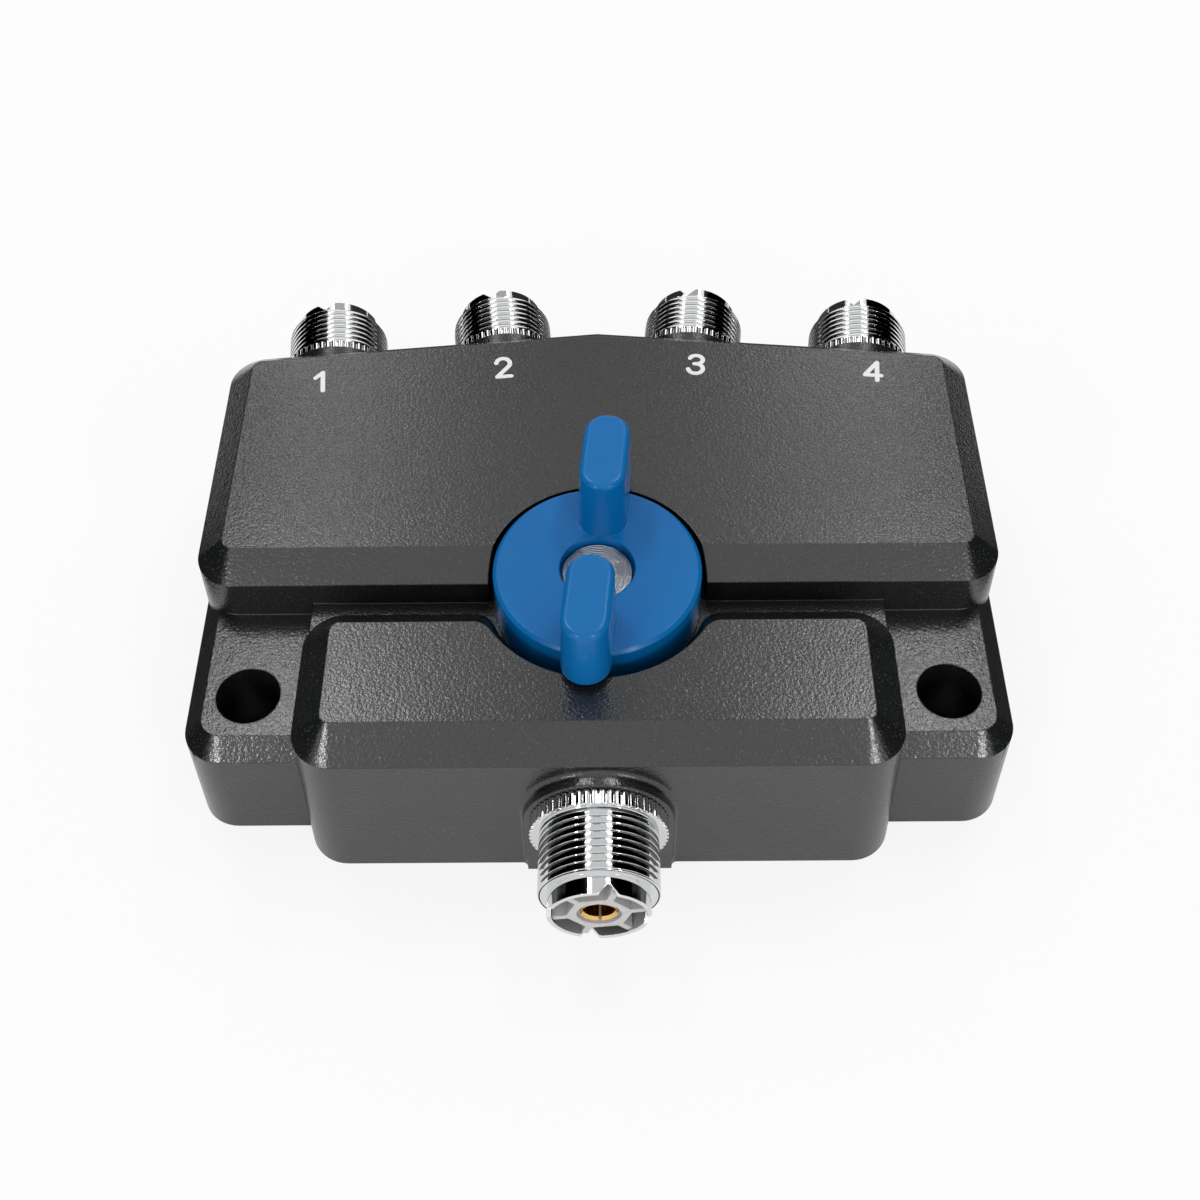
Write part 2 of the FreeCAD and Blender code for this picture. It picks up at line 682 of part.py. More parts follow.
def well_walls():
    """The wall round the well, one half in each block, as it stands in the hollow."""
    halves = []
    front_sweep = 2 * arc_cosine((mm.front_back + mm.side_wall - mm.well_wall_bite) / mm.well_radius)
    for name, middle, sweep in (("rear", QUARTER_TURN, mm.rear_wall_sweep),
                                ("front", -QUARTER_TURN, front_sweep)):
        half = cylinder("well_wall_" + name, mm.well_radius + mm.well_wall, HIGH_ROOF - LOW_ROOF, sweep)
        halves.append(place(half, z=LOW_ROOF, yaw=middle - sweep / 2))
    return halves


def well_cuts():
    """The well itself, with its bevelled mouth in the front block."""
    well = cylinder("well", mm.well_radius, mm.block_top - mm.web_top + 1)
    mouth = cone("well_mouth", mm.well_radius, mm.well_radius + mm.mouth_run, MOUTH_DEPTH, HALF_TURN)
    return [place(well, z=mm.web_top), place(mouth, z=mm.block_top - MOUTH_DEPTH, yaw=HALF_TURN)]


def columns():
    """What stands inside the box: screw bosses, ear pads, stator pillars and the boss for the ball."""
    pieces = []
    for number, (x, y) in enumerate(COVER_SCREWS, start=1):
        boss = cylinder("cover_boss_%d" % number, SCREW_BOSS_RADIUS, HIGH_ROOF - mm.cover_thickness)
        pieces.append(place(boss, x, y, mm.cover_thickness))
    reach_x = EAR_TOWER_RADIUS + mm.ear_hole_side - mm.side_wall / 2
    reach_y = EAR_TOWER_RADIUS + mm.ear_hole_front - mm.side_wall / 2
    for side, (x, y) in zip((0, 1), EAR_HOLES):
        pad_height = mm.ear_top - mm.ear_edge_drop
        ear_pad = box("ear_pad_%d" % side, reach_x, reach_y, pad_height)
        left = x - EAR_TOWER_RADIUS if side else x + EAR_TOWER_RADIUS - reach_x
        pieces.append(place(ear_pad, left, mm.side_wall / 2 - mm.ear_front))
    for number, (x, y) in enumerate(PILLARS, start=1):
        pillar = cylinder("pillar_%d" % number, mm.pillar_radius, LOW_ROOF + mm.roof / 2 - STRIP_LEVEL)
        pieces.append(place(pillar, x, y, STRIP_LEVEL))
    ball_boss = cylinder("ball_boss", BALL_BOSS_RADIUS, mm.ball_boss_length + mm.roof / 2)
    pieces.append(place(ball_boss, 0, -DETENT_RADIUS, LOW_ROOF - mm.ball_boss_length))
    return pieces


def housing_holes():
    """Bores and screw holes of the casting."""
    holes = []
    depth = mm.barrel_length + mm.axial_play
    for port in PORTS:
        bore = cylinder("socket_bore_" + port.name, mm.barrel_radius + mm.fit_gap, depth + 1)
        holes.append(port.seat(bore, -depth))
    for number, (x, y) in enumerate(EAR_HOLES, start=1):
        counterbore = cylinder("ear_counterbore_%d" % number, mm.ear_bore_radius, mm.ear_top)
        through = cylinder("ear_through_%d" % number, mm.ear_screw_radius, mm.ear_top)
        holes += [place(counterbore, x, y, mm.ear_floor), place(through, x, y, -1)]
    for number, (x, y) in enumerate(COVER_SCREWS, start=1):
        hole = cylinder("cover_hole_%d" % number, mm.cover_screw_radius + mm.fit_gap, mm.cover_screw_length)
        holes.append(place(hole, x, y, mm.fit_gap))
    for number, (x, y) in enumerate(PILLARS, start=1):
        hole = cylinder("pillar_hole_%d" % number, mm.small_screw_radius + mm.fit_gap, mm.small_screw_length)
        holes.append(place(hole, x, y, STATOR_LOW + mm.fit_gap))
    bush_bore = cylinder("bush_bore", BUSH_RADIUS + mm.fit_gap, 2 * mm.roof)
    holes.append(place(bush_bore, z=LOW_ROOF - mm.roof / 2))
    ball_hole = cylinder("ball_hole", mm.ball_radius + mm.fit_gap, mm.web_top - mm.ball_cap - PLATE_TOP)
    holes.append(place(ball_hole, 0, -DETENT_RADIUS, PLATE_TOP))
    return holes


def samples(edge):
    """Points along an edge, ends included."""
    first, last = edge.ParameterRange
    return [edge.valueAt(first + (last - first) * step / (EDGE_SAMPLES - 1)) for step in range(EDGE_SAMPLES)]


def round_front_boss(edge):
    """Whether an edge is where the front boss leaves the front wall."""
    lean = tangent(mm.draft).value

    def beside_boss(point):
        reach = math.hypot(point.x, max(0, point.z - mm.socket_height.value))
        on_wall = abs(point.y + mm.front_face.value - lean * point.z) < NEAR
        return on_wall and abs(reach - mm.boss_radius.value) < NEAR

    return all(beside_boss(point) for point in samples(edge))


def at_well_corner(edge):
    """Whether an edge is a corner between the well and the rear of the front block."""
    floor = mm.web_top.value
    mouth = mm.block_top.value - MOUTH_DEPTH.value
    rate = mm.mouth_run.value / MOUTH_DEPTH.value

    def beside_well(point):
        radius = mm.well_radius.value + rate * max(0, point.z - mouth)
        return point.y < 0 and point.z > floor - NEAR and abs(math.hypot(point.x, point.y) - radius) < NEAR

    points = samples(edge)
    return all(beside_well(point) for point in points) and abs(points[0].z - points[-1].z) > NEAR


def housing():
    """Die-cast box: two bevelled blocks on a stepped base, with the knob's well between them."""
    outer = fuse("housing_outer", outer_tiers() + socket_bosses())
    hollow = cut("housing_hollow", outer, cavities())
    ribbed = fuse("housing_ribbed", [hollow] + columns() + well_walls())
    cast = cut("housing_cast", ribbed, well_cuts() + housing_holes())
    DOC.recompute()
    body = new_body("housing_softened")
    body.BaseFeature = cast
    DOC.recompute()
    for name, radius, test in (("boss_blend", mm.boss_blend, round_front_boss),
                               ("well_corners", mm.well_corner_round, at_well_corner)):
        before = body.Tip
        fillet = body.newObject("PartDesign::Fillet", name)
        fillet.Base = (before, edges_where(before.Shape, test))
        bind(fillet, "Radius", radius)
        DOC.recompute()
    name_node(body, "housing")


# ---------------------------------------------------------------- bottom cover

def bottom_cover():
    """Flat cover let into the bottom, with countersunk holes and notches for the ear pads."""
    plate = prism("cover_plate", whole_outline(mm.rim + mm.cover_gap), mm.cover_thickness)
    holes = []
    for number, (x, y) in enumerate(COVER_SCREWS, start=1):
        sink = cone("countersink_%d" % number, mm.cover_head_radius + mm.fit_gap,
                    mm.cover_screw_radius + mm.fit_gap, mm.cover_thickness)
        holes.append(place(sink, x, y))
    reach_x = EAR_TOWER_RADIUS + mm.ear_hole_side + mm.cover_gap
    reach_y = EAR_TOWER_RADIUS + mm.ear_hole_front + mm.cover_gap
    for side, (x, y) in zip((0, 1), EAR_HOLES):
        notch = box("ear_notch_%d" % side, reach_x, reach_y, mm.cover_thickness)
        left = x - EAR_TOWER_RADIUS - mm.cover_gap if side else x + EAR_TOWER_RADIUS + mm.cover_gap - reach_x
        holes.append(place(notch, left, -mm.ear_front))
    name_node(cut("cover_cut", plate, holes), "bottom_cover")


def cover_screws():
    """Six countersunk screws that hold the bottom cover, heads down."""
    radius, length = mm.cover_screw_radius, mm.cover_screw_length
    screws = []
    for number, (x, y) in enumerate(COVER_SCREWS, start=1):
        screw = turned("cover_screw_%d" % number, [
            (0, 0), (mm.cover_head_radius, 0), (radius, mm.cover_thickness), (radius, length - radius / 2),
            (radius / 2, length), (0, length)])
        screws.append(place(screw, x, y))
    name_node(group("cover_screw_set", screws), "cover_screws")


# ---------------------------------------------------------------- sockets

def socket_shell(port):
    """Turned shell of a socket: barrel, knurled ring, thread and nose."""
    thread_end = mm.ring_width + mm.thread_length
    relief = mm.thread_radius - mm.thread_relief
    body = turned("shell_" + port.name, [
        (BARREL_BORE, -mm.barrel_length),
        (mm.barrel_radius, -mm.barrel_length),
        (mm.barrel_radius, 0),
        (mm.ring_radius, 0),
        (mm.ring_radius, mm.ring_width),
        (relief, mm.ring_width),
        (relief, mm.ring_width + mm.thread_relief),
        (mm.thread_radius, mm.ring_width + mm.thread_relief),
        (mm.thread_radius, thread_end - mm.thread_bevel),
        (mm.thread_radius - mm.thread_bevel, thread_end),
        (mm.nose_radius, thread_end),
        (mm.nose_radius, NOSE_END),
        (MOUTH_RADIUS, NOSE_END),
        (MOUTH_RADIUS, mm.mouth_floor),
        (BARREL_BORE, mm.mouth_floor)])
    DOC.recompute()
    sketch = new_sketch(body, "notch_" + port.name, "XZ_Plane")
    sketch.setExpression(
        "AttachmentOffset",
        "create(<<placement>>; create(<<vector>>; 0; 0; 0); create(<<rotation>>; 0; -%s; 0))"
        % mm.nose_notch_angle.text)
    half = mm.nose_notch_width / 2
    draw_polygon(sketch, [(-half, NOSE_END), (0, NOSE_END - mm.nose_notch_depth), (half, NOSE_END)])
    notch = body.newObject("PartDesign::Pocket", "notch_cut_" + port.name)
    notch.Profile = sketch
    bind(notch, "Length", mm.ring_radius)
    DOC.recompute()
    pattern = body.newObject("PartDesign::PolarPattern", "notches_" + port.name)
    pattern.Originals = [notch]
    pattern.Axis = (sketch, ["V_Axis"])
    pattern.Angle = FULL_TURN
    pattern.Occurrences = NOSE_NOTCHES
    body.Tip = pattern
    name_node(port.seat(body), "connector_shell_" + port.name)


def socket_insulator(port):
    """Moulded insulator of a socket: a stepped sleeve with six windows round its hub."""
    face = NOSE_END - mm.insulator_setback
    bore = CONTACT_RADIUS + mm.fit_gap
    front = MOUTH_RADIUS - mm.fit_gap
    back = BARREL_BORE - mm.fit_gap
    recess = bore + mm.hub_recess
    body = turned("insulator_" + port.name, [
        (bore, -mm.barrel_length), (back, -mm.barrel_length), (back, mm.mouth_floor),
        (front, mm.mouth_floor), (front, face), (recess, face), (recess, face - mm.hub_recess),
        (bore, face - mm.hub_recess)])
    DOC.recompute()
    sketch = new_sketch(body, "window_" + port.name, "XY_Plane")
    sketch.setExpression(
        "AttachmentOffset",
        "create(<<placement>>; create(<<vector>>; 0; 0; %s); create(<<rotation>>; %s; 0; 0))"
        % (face.text, mm.rib_clocking.text))
    near = CONTACT_RADIUS + mm.hub_wall
    far = MOUTH_RADIUS + 1
    half_angle = FULL_TURN / WINDOWS / 2
    side = mm.rib_width / 2 / cosine(half_angle)
    near_side = near * tangent(half_angle) - side
    far_side = far * tangent(half_angle) - side
    draw_polygon(sketch, [(near, -near_side), (far, -far_side), (far, far_side), (near, near_side)])
    window = body.newObject("PartDesign::Pocket", "window_cut_" + port.name)
    window.Profile = sketch
    bind(window, "Length", mm.window_depth)
    DOC.recompute()
    ring = body.newObject("PartDesign::PolarPattern", "windows_" + port.name)
    ring.Originals = [window]
    ring.Axis = (sketch, ["N_Axis"])
    ring.Angle = FULL_TURN
    ring.Occurrences = WINDOWS
    body.Tip = ring
    name_node(port.seat(body), "insulator_" + port.name)


def socket_contact(port):
    """Centre contact of a socket: a bored front end and a solder tail."""
    face = NOSE_END - mm.contact_setback
    body = turned("contact_" + port.name, [
        (0, -(mm.barrel_length + mm.tail_length)), (mm.tail_radius, -(mm.barrel_length + mm.tail_length)),
        (mm.tail_radius, -mm.barrel_length), (CONTACT_RADIUS, -mm.barrel_length),
        (CONTACT_RADIUS, face), (mm.contact_bore + mm.contact_flare, face),
        (mm.contact_bore, face - mm.contact_flare), (mm.contact_bore, face - mm.contact_depth),
        (0, face - mm.contact_depth)])
    name_node(port.seat(body), "contact_" + port.name)


def hexagon(flats):
    """Corners of a hexagon, from its width across the flats."""
    corner = flats / 2 / cosine(HALF_TURN / HEXAGON)
    step = FULL_TURN / HEXAGON
    return [(corner * sine(step * i), corner * cosine(step * i)) for i in range(HEXAGON)]


def connector_nuts():
    """Hexagon nuts that hold the sockets from inside."""
    nuts = []
    for port in PORTS:
        blank = prism("nut_blank_" + port.name, hexagon(2 * (mm.barrel_radius + mm.fit_gap + mm.nut_wall)),
                      mm.nut_thickness)
        hole = cylinder("nut_hole_" + port.name, mm.barrel_radius + mm.fit_gap, mm.nut_thickness)
        nut = cut("nut_" + port.name, blank, [hole])
        nuts.append(port.seat(nut, -(port.wall + mm.nut_thickness)))
    name_node(group("nut_set", nuts), "connector_nuts")


# ---------------------------------------------------------------- strips and stator

def flat_bar(start, end, width, low, thickness):
    """A flat bar in plan from one point to another, with a round end at each."""
    along = end - start
    side = V(-along.y, along.x, 0).normalize() * (width / 2)
    corners = [start + side, end + side, end - side, start - side, start + side]
    shape = Part.Face(Part.makePolygon(corners)).extrude(V(0, 0, thickness))
    for point in (start, end):
        shape = shape.fuse(Part.makeCylinder(width / 2, thickness, point))
    shape.translate(V(0, 0, low))
    return shape


def strip_shape(port, points, low):
    """A bent contact strip: flat along points, then up to the solder tail of its socket."""
    width, thickness = mm.strip_width.value, mm.strip_thickness.value
    shape = flat_bar(points[0], points[1], width, low, thickness)
    for first, second in zip(points[1:], points[2:]):
        shape = shape.fuse(flat_bar(first, second, width, low, thickness))
    height = mm.socket_height.value + mm.strip_rise.value - low
    riser = Part.makeBox(width, thickness, height, V(-width / 2, -thickness / 2, low))
    riser.rotate(V(0, 0, 0), V(0, 0, 1), port.yaw.value)
    riser.translate(points[-1])
    tail = Part.makeCylinder(mm.tail_radius.value + mm.fit_gap.value, 4 * thickness,
                             V(0, -2 * thickness, mm.socket_height.value), V(0, 1, 0))
    tail.rotate(V(0, 0, 0), V(0, 0, 1), port.yaw.value)
    tail.translate(points[-1])
    return shape.fuse(riser).cut(tail).removeSplitter()


def strip_foot(port):
    """Where a strip rises to the solder tail of its socket."""
    back = mm.barrel_length.value + mm.tail_length.value - mm.tail_overlap.value
    return V(port.x.value - back * port.direction[0].value, port.y.value - back * port.direction[1].value, 0)


def polar(radius, angle):
    """Point at an angle in degrees, counted anticlockwise from +Y."""
    turn = math.radians(angle.value)
    return V(-radius.value * math.sin(turn), radius.value * math.cos(turn), 0)


def output_strips():
    """Four strips from the antenna sockets to the ring of stator contacts."""
    hole_radius = mm.rivet_radius.value + mm.fit_gap.value
    for port in ANTENNA_PORTS:
        angle = POSITIONS[port.name]
        start = polar(mm.blade_reach - mm.blade_overlap + mm.strip_width / 2, angle)
        bend = polar(STATOR_INNER + mm.stator_width - mm.strip_width / 2, angle)
        shape = strip_shape(port, [start, bend, strip_foot(port)], STRIP_LEVEL.value)
        rivet = Part.makeCylinder(hole_radius, mm.block_top.value, polar(STATOR_MIDDLE, angle))
        strip = DOC.addObject("Part::Feature", "strip_" + port.name)
        strip.Shape = shape.cut(rivet)
        strip.Placement = FreeCAD.Placement()
        name_node(strip, "output_strip_" + port.name)


def common_strip():
    """Springy strip from the feed socket to the button under the rotor."""
    port = PORTS[0]
    low = ROTOR_LOW - mm.button_head - mm.axial_play - mm.strip_thickness
    strip = DOC.addObject("Part::Feature", "strip_common")
    strip.Shape = strip_shape(port, [V(0, 0, 0), strip_foot(port)], low.value)
    strip.Placement = FreeCAD.Placement()
    name_node(strip, "common_strip")


def stator_plate():
    """Insulating plate under the ring of contacts, hung from two pillars."""
    outer = STATOR_INNER + mm.stator_width
    plate = turned("stator_blank", [
        (STATOR_INNER, 0), (outer, 0), (outer, mm.stator_thickness), (STATOR_INNER, mm.stator_thickness)],
        mm.stator_sweep)
    place(plate, z=STATOR_LOW, yaw=QUARTER_TURN - mm.stator_sweep / 2)
    holes = []
    for number, (x, y) in enumerate(PILLARS, start=1):
        hole = cylinder("stator_hole_%d" % number, mm.small_screw_radius + mm.fit_gap, mm.block_top)
        holes.append(place(hole, x, y))
    for name, angle in POSITIONS.items():
        hole = cylinder("rivet_hole_" + name, mm.rivet_radius + mm.fit_gap, mm.block_top)
        x = -STATOR_MIDDLE * sine(angle)
        y = STATOR_MIDDLE * cosine(angle)
        holes.append(place(hole, x, y))
    name_node(cut("stator_cut", plate, holes), "stator_plate")


def stator_screws():
    """Two pan-head screws that hang the stator plate from its pillars."""
    screws = []
    low = STATOR_LOW - mm.small_head_height
    for number, (x, y) in enumerate(PILLARS, start=1):
        top = mm.small_head_height + mm.small_screw_length
        screw = turned("stator_screw_%d" % number, [
            (0, 0), (mm.small_head_radius, 0), (mm.small_head_radius, mm.small_head_height),
            (mm.small_screw_radius, mm.small_head_height), (mm.small_screw_radius, top), (0, top)])
        screws.append(place(screw, x, y, low))
    name_node(group("stator_screw_set", screws), "stator_screws")


def contact_rivets():
    """Rivets that hold the strips on the stator plate."""
    rivets = []
    head, grip = mm.rivet_head_height, mm.stator_thickness + mm.strip_thickness
    low = STATOR_LOW - head
    for name, angle in POSITIONS.items():
        rivet = turned("rivet_" + name, [
            (0, 0), (mm.rivet_head_radius, 0), (mm.rivet_head_radius, head), (mm.rivet_radius, head),
            (mm.rivet_radius, head + grip), (mm.rivet_head_radius, head + grip),
            (mm.rivet_head_radius, 2 * head + grip), (0, 2 * head + grip)])
        x = -STATOR_MIDDLE * sine(angle)
        y = STATOR_MIDDLE * cosine(angle)
        rivets.append(place(rivet, x, y, low))
    name_node(group("rivet_set", rivets), "contact_rivets")


# ---------------------------------------------------------------- bearing and detent

def shaft_bushing():
    """Flanged bearing bush in the floor of the well."""
    bore = mm.shaft_radius + mm.fit_gap
    flange = BUSH_RADIUS + mm.bush_flange_reach
    bush = turned("bush", [
        (bore, LOW_ROOF), (BUSH_RADIUS, LOW_ROOF), (BUSH_RADIUS, mm.web_top), (flange, mm.web_top),
        (flange, BUSH_TOP), (bore, BUSH_TOP)])
    name_node(bush, "shaft_bushing")


def thrust_washer():
    """Washer between the shoulder of the shaft and its bush."""
    bore = mm.shaft_radius + mm.fit_gap
    washer = turned("washer", [
        (bore, BUSH_TOP), (mm.washer_radius, BUSH_TOP), (mm.washer_radius, WASHER_TOP), (bore, WASHER_TOP)])
    name_node(washer, "thrust_washer")


def detent_ball():
    """Steel ball that drops into the notches of the detent plate."""
    ball = DOC.addObject("Part::Sphere", "ball")
    bind(ball, "Radius", mm.ball_radius)
    place(ball, 0, -DETENT_RADIUS, PLATE_TOP + mm.ball_radius + mm.ball_gap)
    name_node(ball, "detent_ball")


def detent_spring():
    """Coil spring that presses the ball down."""
    low = (PLATE_TOP + 2 * mm.ball_radius + mm.ball_gap + mm.wire_radius + mm.axial_play).value
    high = (mm.web_top - mm.ball_cap - mm.wire_radius - mm.axial_play).value
    coil = mm.coil_radius.value
    path = Part.makeHelix((high - low) / SPRING_TURNS, high - low, coil)
    corners = [V(coil + x.value, 0, y.value) for x, y in hexagon(2 * mm.wire_radius)]
    section = Part.makePolygon(corners + corners[:1])
    shape = Part.Wire(path.Edges).makePipeShell([section], True, True)
    spring = DOC.addObject("Part::Feature", "spring")
    spring.Shape = shape
    spring.Placement = FreeCAD.Placement(V(0, -DETENT_RADIUS.value, low), FreeCAD.Rotation())
    name_node(spring, "detent_spring")


# ---------------------------------------------------------------- turning parts

def turning(thing, label):
    """Name a piece that turns with the knob, at its resting angle."""
    place(thing, yaw=mm.rest_turn)
    name_node(thing, label)


def double_flat(name, radius, flat, low, high):
    """A round bar with two flats."""
    bar = place(cylinder(name + "_bar", radius, high - low), z=low)
    slab = place(box(name + "_slab", 2 * flat, 4 * radius, high - low), -flat, -2 * radius, low)
    both = DOC.addObject("Part::MultiCommon", name)
    both.Shapes = [bar, slab]
    return both


def switch_shaft():
    """Steel shaft: knob seat with a flat, bearing, clip groove and a flatted lower end."""
    groove = mm.shaft_radius - mm.clip_bite
    end = DISC_TOP - mm.seat_setback
    upper = turned("shaft_upper", [
        (0, PLATE_TOP), (mm.shaft_radius, PLATE_TOP), (mm.shaft_radius, CLIP_LOW), (groove, CLIP_LOW),
        (groove, CLIP_TOP), (mm.shaft_radius, CLIP_TOP), (mm.shaft_radius, SHOULDER),
        (mm.seat_radius, SHOULDER), (mm.seat_radius, end), (0, end)])
    lower = double_flat("shaft_lower", mm.shaft_radius, mm.shaft_radius - mm.key_bite, SHAFT_LOW, PLATE_TOP)
    whole = fuse("shaft_whole", [upper, lower])
    flat = box("shaft_flat_cut", mm.seat_radius, 2 * mm.seat_radius, 4 * mm.grub_radius)
    place(flat, mm.grub_bite - 2 * mm.seat_radius, -mm.seat_radius, GRUB_LEVEL - 2 * mm.grub_radius)
    turning(cut("shaft", whole, [flat]), "switch_shaft")


def retaining_clip():
    """Snap ring in the groove of the shaft, open on one side."""
    groove = mm.shaft_radius - mm.clip_bite
    inner = groove + mm.fit_gap
    ring = turned("clip_ring", [
        (inner, CLIP_LOW), (mm.clip_radius, CLIP_LOW), (mm.clip_radius, CLIP_TOP), (inner, CLIP_TOP)])
    mouth = box("clip_mouth", 2 * groove, mm.clip_radius, mm.clip_thickness)
    place(mouth, -groove, 0, CLIP_LOW)
    turning(cut("clip", ring, [mouth]), "retaining_clip")


def key_eye(name, low, high):
    """Room for the flatted end of the shaft."""
    gap = mm.fit_gap
    return double_flat(name, mm.shaft_radius + gap, mm.shaft_radius - mm.key_bite + gap, low, high)


def detent_plate():
    """Notched steel plate on the flats of the shaft, with a lug that stops against the pillars."""
    radius = DETENT_RADIUS + mm.notch_radius + mm.notch_margin
    disc = place(cylinder("detent_disc", radius, mm.detent_plate_thickness), z=PLATE_LOW)
    eye = key_eye("detent_eye", PLATE_LOW - 1, PLATE_TOP + 1)
    notches = []
    for name, angle in POSITIONS.items():
        notch = cylinder("notch_" + name, mm.notch_radius, mm.detent_plate_thickness + 2)
        x = DETENT_RADIUS * sine(angle)
        y = -DETENT_RADIUS * cosine(angle)
        notches.append(place(notch, x, y, PLATE_LOW - 1))
    last = 1.5 * mm.position_angle
    half_lug = STATOR_MIDDLE * sine(mm.pillar_angle - last) - mm.pillar_radius - mm.stop_gap
    lug = box("stop_lug", 2 * half_lug, STATOR_MIDDLE, mm.detent_plate_thickness)
    place(lug, -half_lug, 0, PLATE_LOW)
    blank = fuse("detent_blank", [disc, lug])
    turning(cut("detent", blank, [eye] + notches), "detent_plate")


def rotor_hub():
    """Insulating rotor on the flats of the shaft, slotted for its two blades."""
    gap = mm.fit_gap
    blank = place(cylinder("rotor_blank", mm.rotor_radius, PLATE_LOW - ROTOR_LOW), z=ROTOR_LOW)
    eye = key_eye("rotor_eye", SHAFT_LOW - gap, PLATE_LOW + 1)
    stem = cylinder("rotor_stem_hole", mm.button_stem + gap, BLADE_TOP + gap - ROTOR_LOW + 1)
    cuts = [eye, place(stem, z=ROTOR_LOW - 1)]
    for name, level in BLADE_LEVELS.items():
        slot = box("rotor_slot_" + name, mm.blade_width + 2 * gap, mm.blade_tail + gap + mm.blade_reach,
                   mm.blade_thickness + 2 * gap)
        cuts.append(place(slot, -(mm.blade_width / 2 + gap), -(mm.blade_tail + gap), level - gap))
    turning(cut("rotor", blank, cuts), "rotor_hub")


def rotor_blades():
    """Two springy blades that grip the chosen output strip from below and above."""
    for name, level in BLADE_LEVELS.items():
        bar = box("blade_bar_" + name, mm.blade_width, mm.blade_tail + mm.blade_reach, mm.blade_thickness)
        place(bar, -mm.blade_width / 2, -mm.blade_tail, level)
        hole = cylinder("blade_hole_" + name, mm.button_stem + mm.fit_gap, mm.block_top)
        turning(cut("blade_" + name, bar, [hole]), "rotor_blade_" + name)


def rotor_button():
    """Brass button that joins the blades to the feed strip."""
    low = ROTOR_LOW - mm.button_head
    button = turned("button", [
        (0, low), (mm.button_radius, low), (mm.button_radius, ROTOR_LOW), (mm.button_stem, ROTOR_LOW),
        (mm.button_stem, BLADE_TOP), (0, BLADE_TOP)])
    turning(button, "rotor_button")


def knob():
    """Moulded knob: a disc on a skirt and a hub, with two tall wings that reach past its rim."""
    disc = mm.well_radius - mm.knob_gap
    under = DISC_TOP - mm.disc_thickness
    skirt_low = mm.web_top + mm.skirt_gap
    skirt_inner = disc - mm.skirt_wall
    hub_low = BUSH_TOP + mm.skirt_gap
    hub = mm.seat_radius + mm.fit_gap + mm.knob_hub_wall
    bore = mm.seat_radius + mm.fit_gap
    eye = mm.seat_radius + mm.knob_eye_margin
    eye_low = DISC_TOP - mm.knob_eye_depth
    body = turned("knob_disc", [
        (eye, DISC_TOP), (disc - mm.disc_edge, DISC_TOP), (disc, DISC_TOP - mm.disc_edge), (disc, skirt_low),
        (skirt_inner, skirt_low), (skirt_inner, under), (hub, under), (hub, hub_low), (bore, hub_low),
        (bore, eye_low), (eye, eye_low)])
    wings = []
    for name, turn in (("rear", 0), ("front", HALF_TURN)):
        wing = new_body("wing_" + name)
        sketch = new_sketch(wing, "wing_plan_" + name, "XY_Plane")
        draw_slot(sketch, mm.wing_near, mm.wing_far, mm.wing_radius)
        tower = pad(wing, "wing_pad_" + name, sketch, mm.wing_height)
        bind(tower, "TaperAngle", -mm.wing_draft)
        DOC.recompute()
        rim = edges_where(tower.Shape, lambda edge: on_level(edge, mm.wing_height))
        rounding = wing.newObject("PartDesign::Fillet", "wing_rounding_" + name)
        rounding.Base = (tower, rim)
        bind(rounding, "Radius", mm.wing_edge)
        wings.append(place(wing, z=DISC_TOP, yaw=turn))
    whole = fuse("knob_whole", [body] + wings)
    grub = cylinder("grub_hole", mm.grub_radius + mm.fit_gap, mm.well_radius)
    place(grub, z=GRUB_LEVEL, pitch=-QUARTER_TURN)
    turning(cut("knob_cut", whole, [grub]), "knob")


def knob_grub_screw():
    """Grub screw through the knob's hub, tight on the flat of the shaft."""
    flat = mm.seat_radius - mm.grub_bite
    length = mm.knob_hub_wall + mm.fit_gap + mm.grub_bite
    screw = cylinder("grub", mm.grub_radius, length)
    socket = place(prism("grub_socket", hexagon(mm.grub_radius), length / 2), z=length / 2)
    driven = cut("grub_driven", screw, [socket])
    x = -flat * cosine(mm.rest_turn)
    y = -flat * sine(mm.rest_turn)
    place(driven, x, y, GRUB_LEVEL, mm.rest_turn, -QUARTER_TURN)
    name_node(driven, "knob_grub_screw")


# ---------------------------------------------------------------- build, check and write

def build():
    """Model every sub-part of the switch."""
    housing()
    bottom_cover()
    cover_screws()
    for port in PORTS:
        socket_shell(port)
        socket_insulator(port)
        socket_contact(port)
    connector_nuts()
    common_strip()
    output_strips()
    stator_plate()
    stator_screws()
    contact_rivets()
    shaft_bushing()
    thrust_washer()
    detent_ball()
    detent_spring()
    switch_shaft()
    retaining_clip()
    detent_plate()
    rotor_hub()
    rotor_blades()
    rotor_button()
    knob()
    knob_grub_screw()
    DOC.recompute()


def check():
    """Stop on any object that failed and on any sub-part without a sound shape."""
    for thing in DOC.Objects:
        if "Invalid" in thing.State or "Error" in thing.State:
            raise RuntimeError("%s failed: %s" % (thing.Name, thing.State))
    for node in NODES:
        if node.Shape.isNull() or not node.Shape.isValid() or not node.Shape.Solids:
            raise RuntimeError("%s has no sound shape" % node.Label)


def write():
    """Write each sub-part to its own STEP file."""
    os.makedirs("parts", exist_ok=True)
    for node in NODES:
        node.Shape.exportStep("parts/%s.step" % node.Label)
        print("%-26s %2d solids %10.1f mm3" % (node.Label, len(node.Shape.Solids), node.Shape.Volume))


build()
check()
write()
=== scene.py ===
"""Looks of a four-way coaxial antenna switch: cast box, winged knob and five threaded sockets.

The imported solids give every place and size. This script dresses them, cuts threads, knurls and
notches into the sockets, draws the numerals and sets up the studio. Lengths are in metres.
"""
import json
import logging
import math
from dataclasses import dataclass
from enum import Enum
from typing import Any, Callable, Optional, Sequence, Union

import bmesh
import bpy
from mathutils import Matrix, Vector

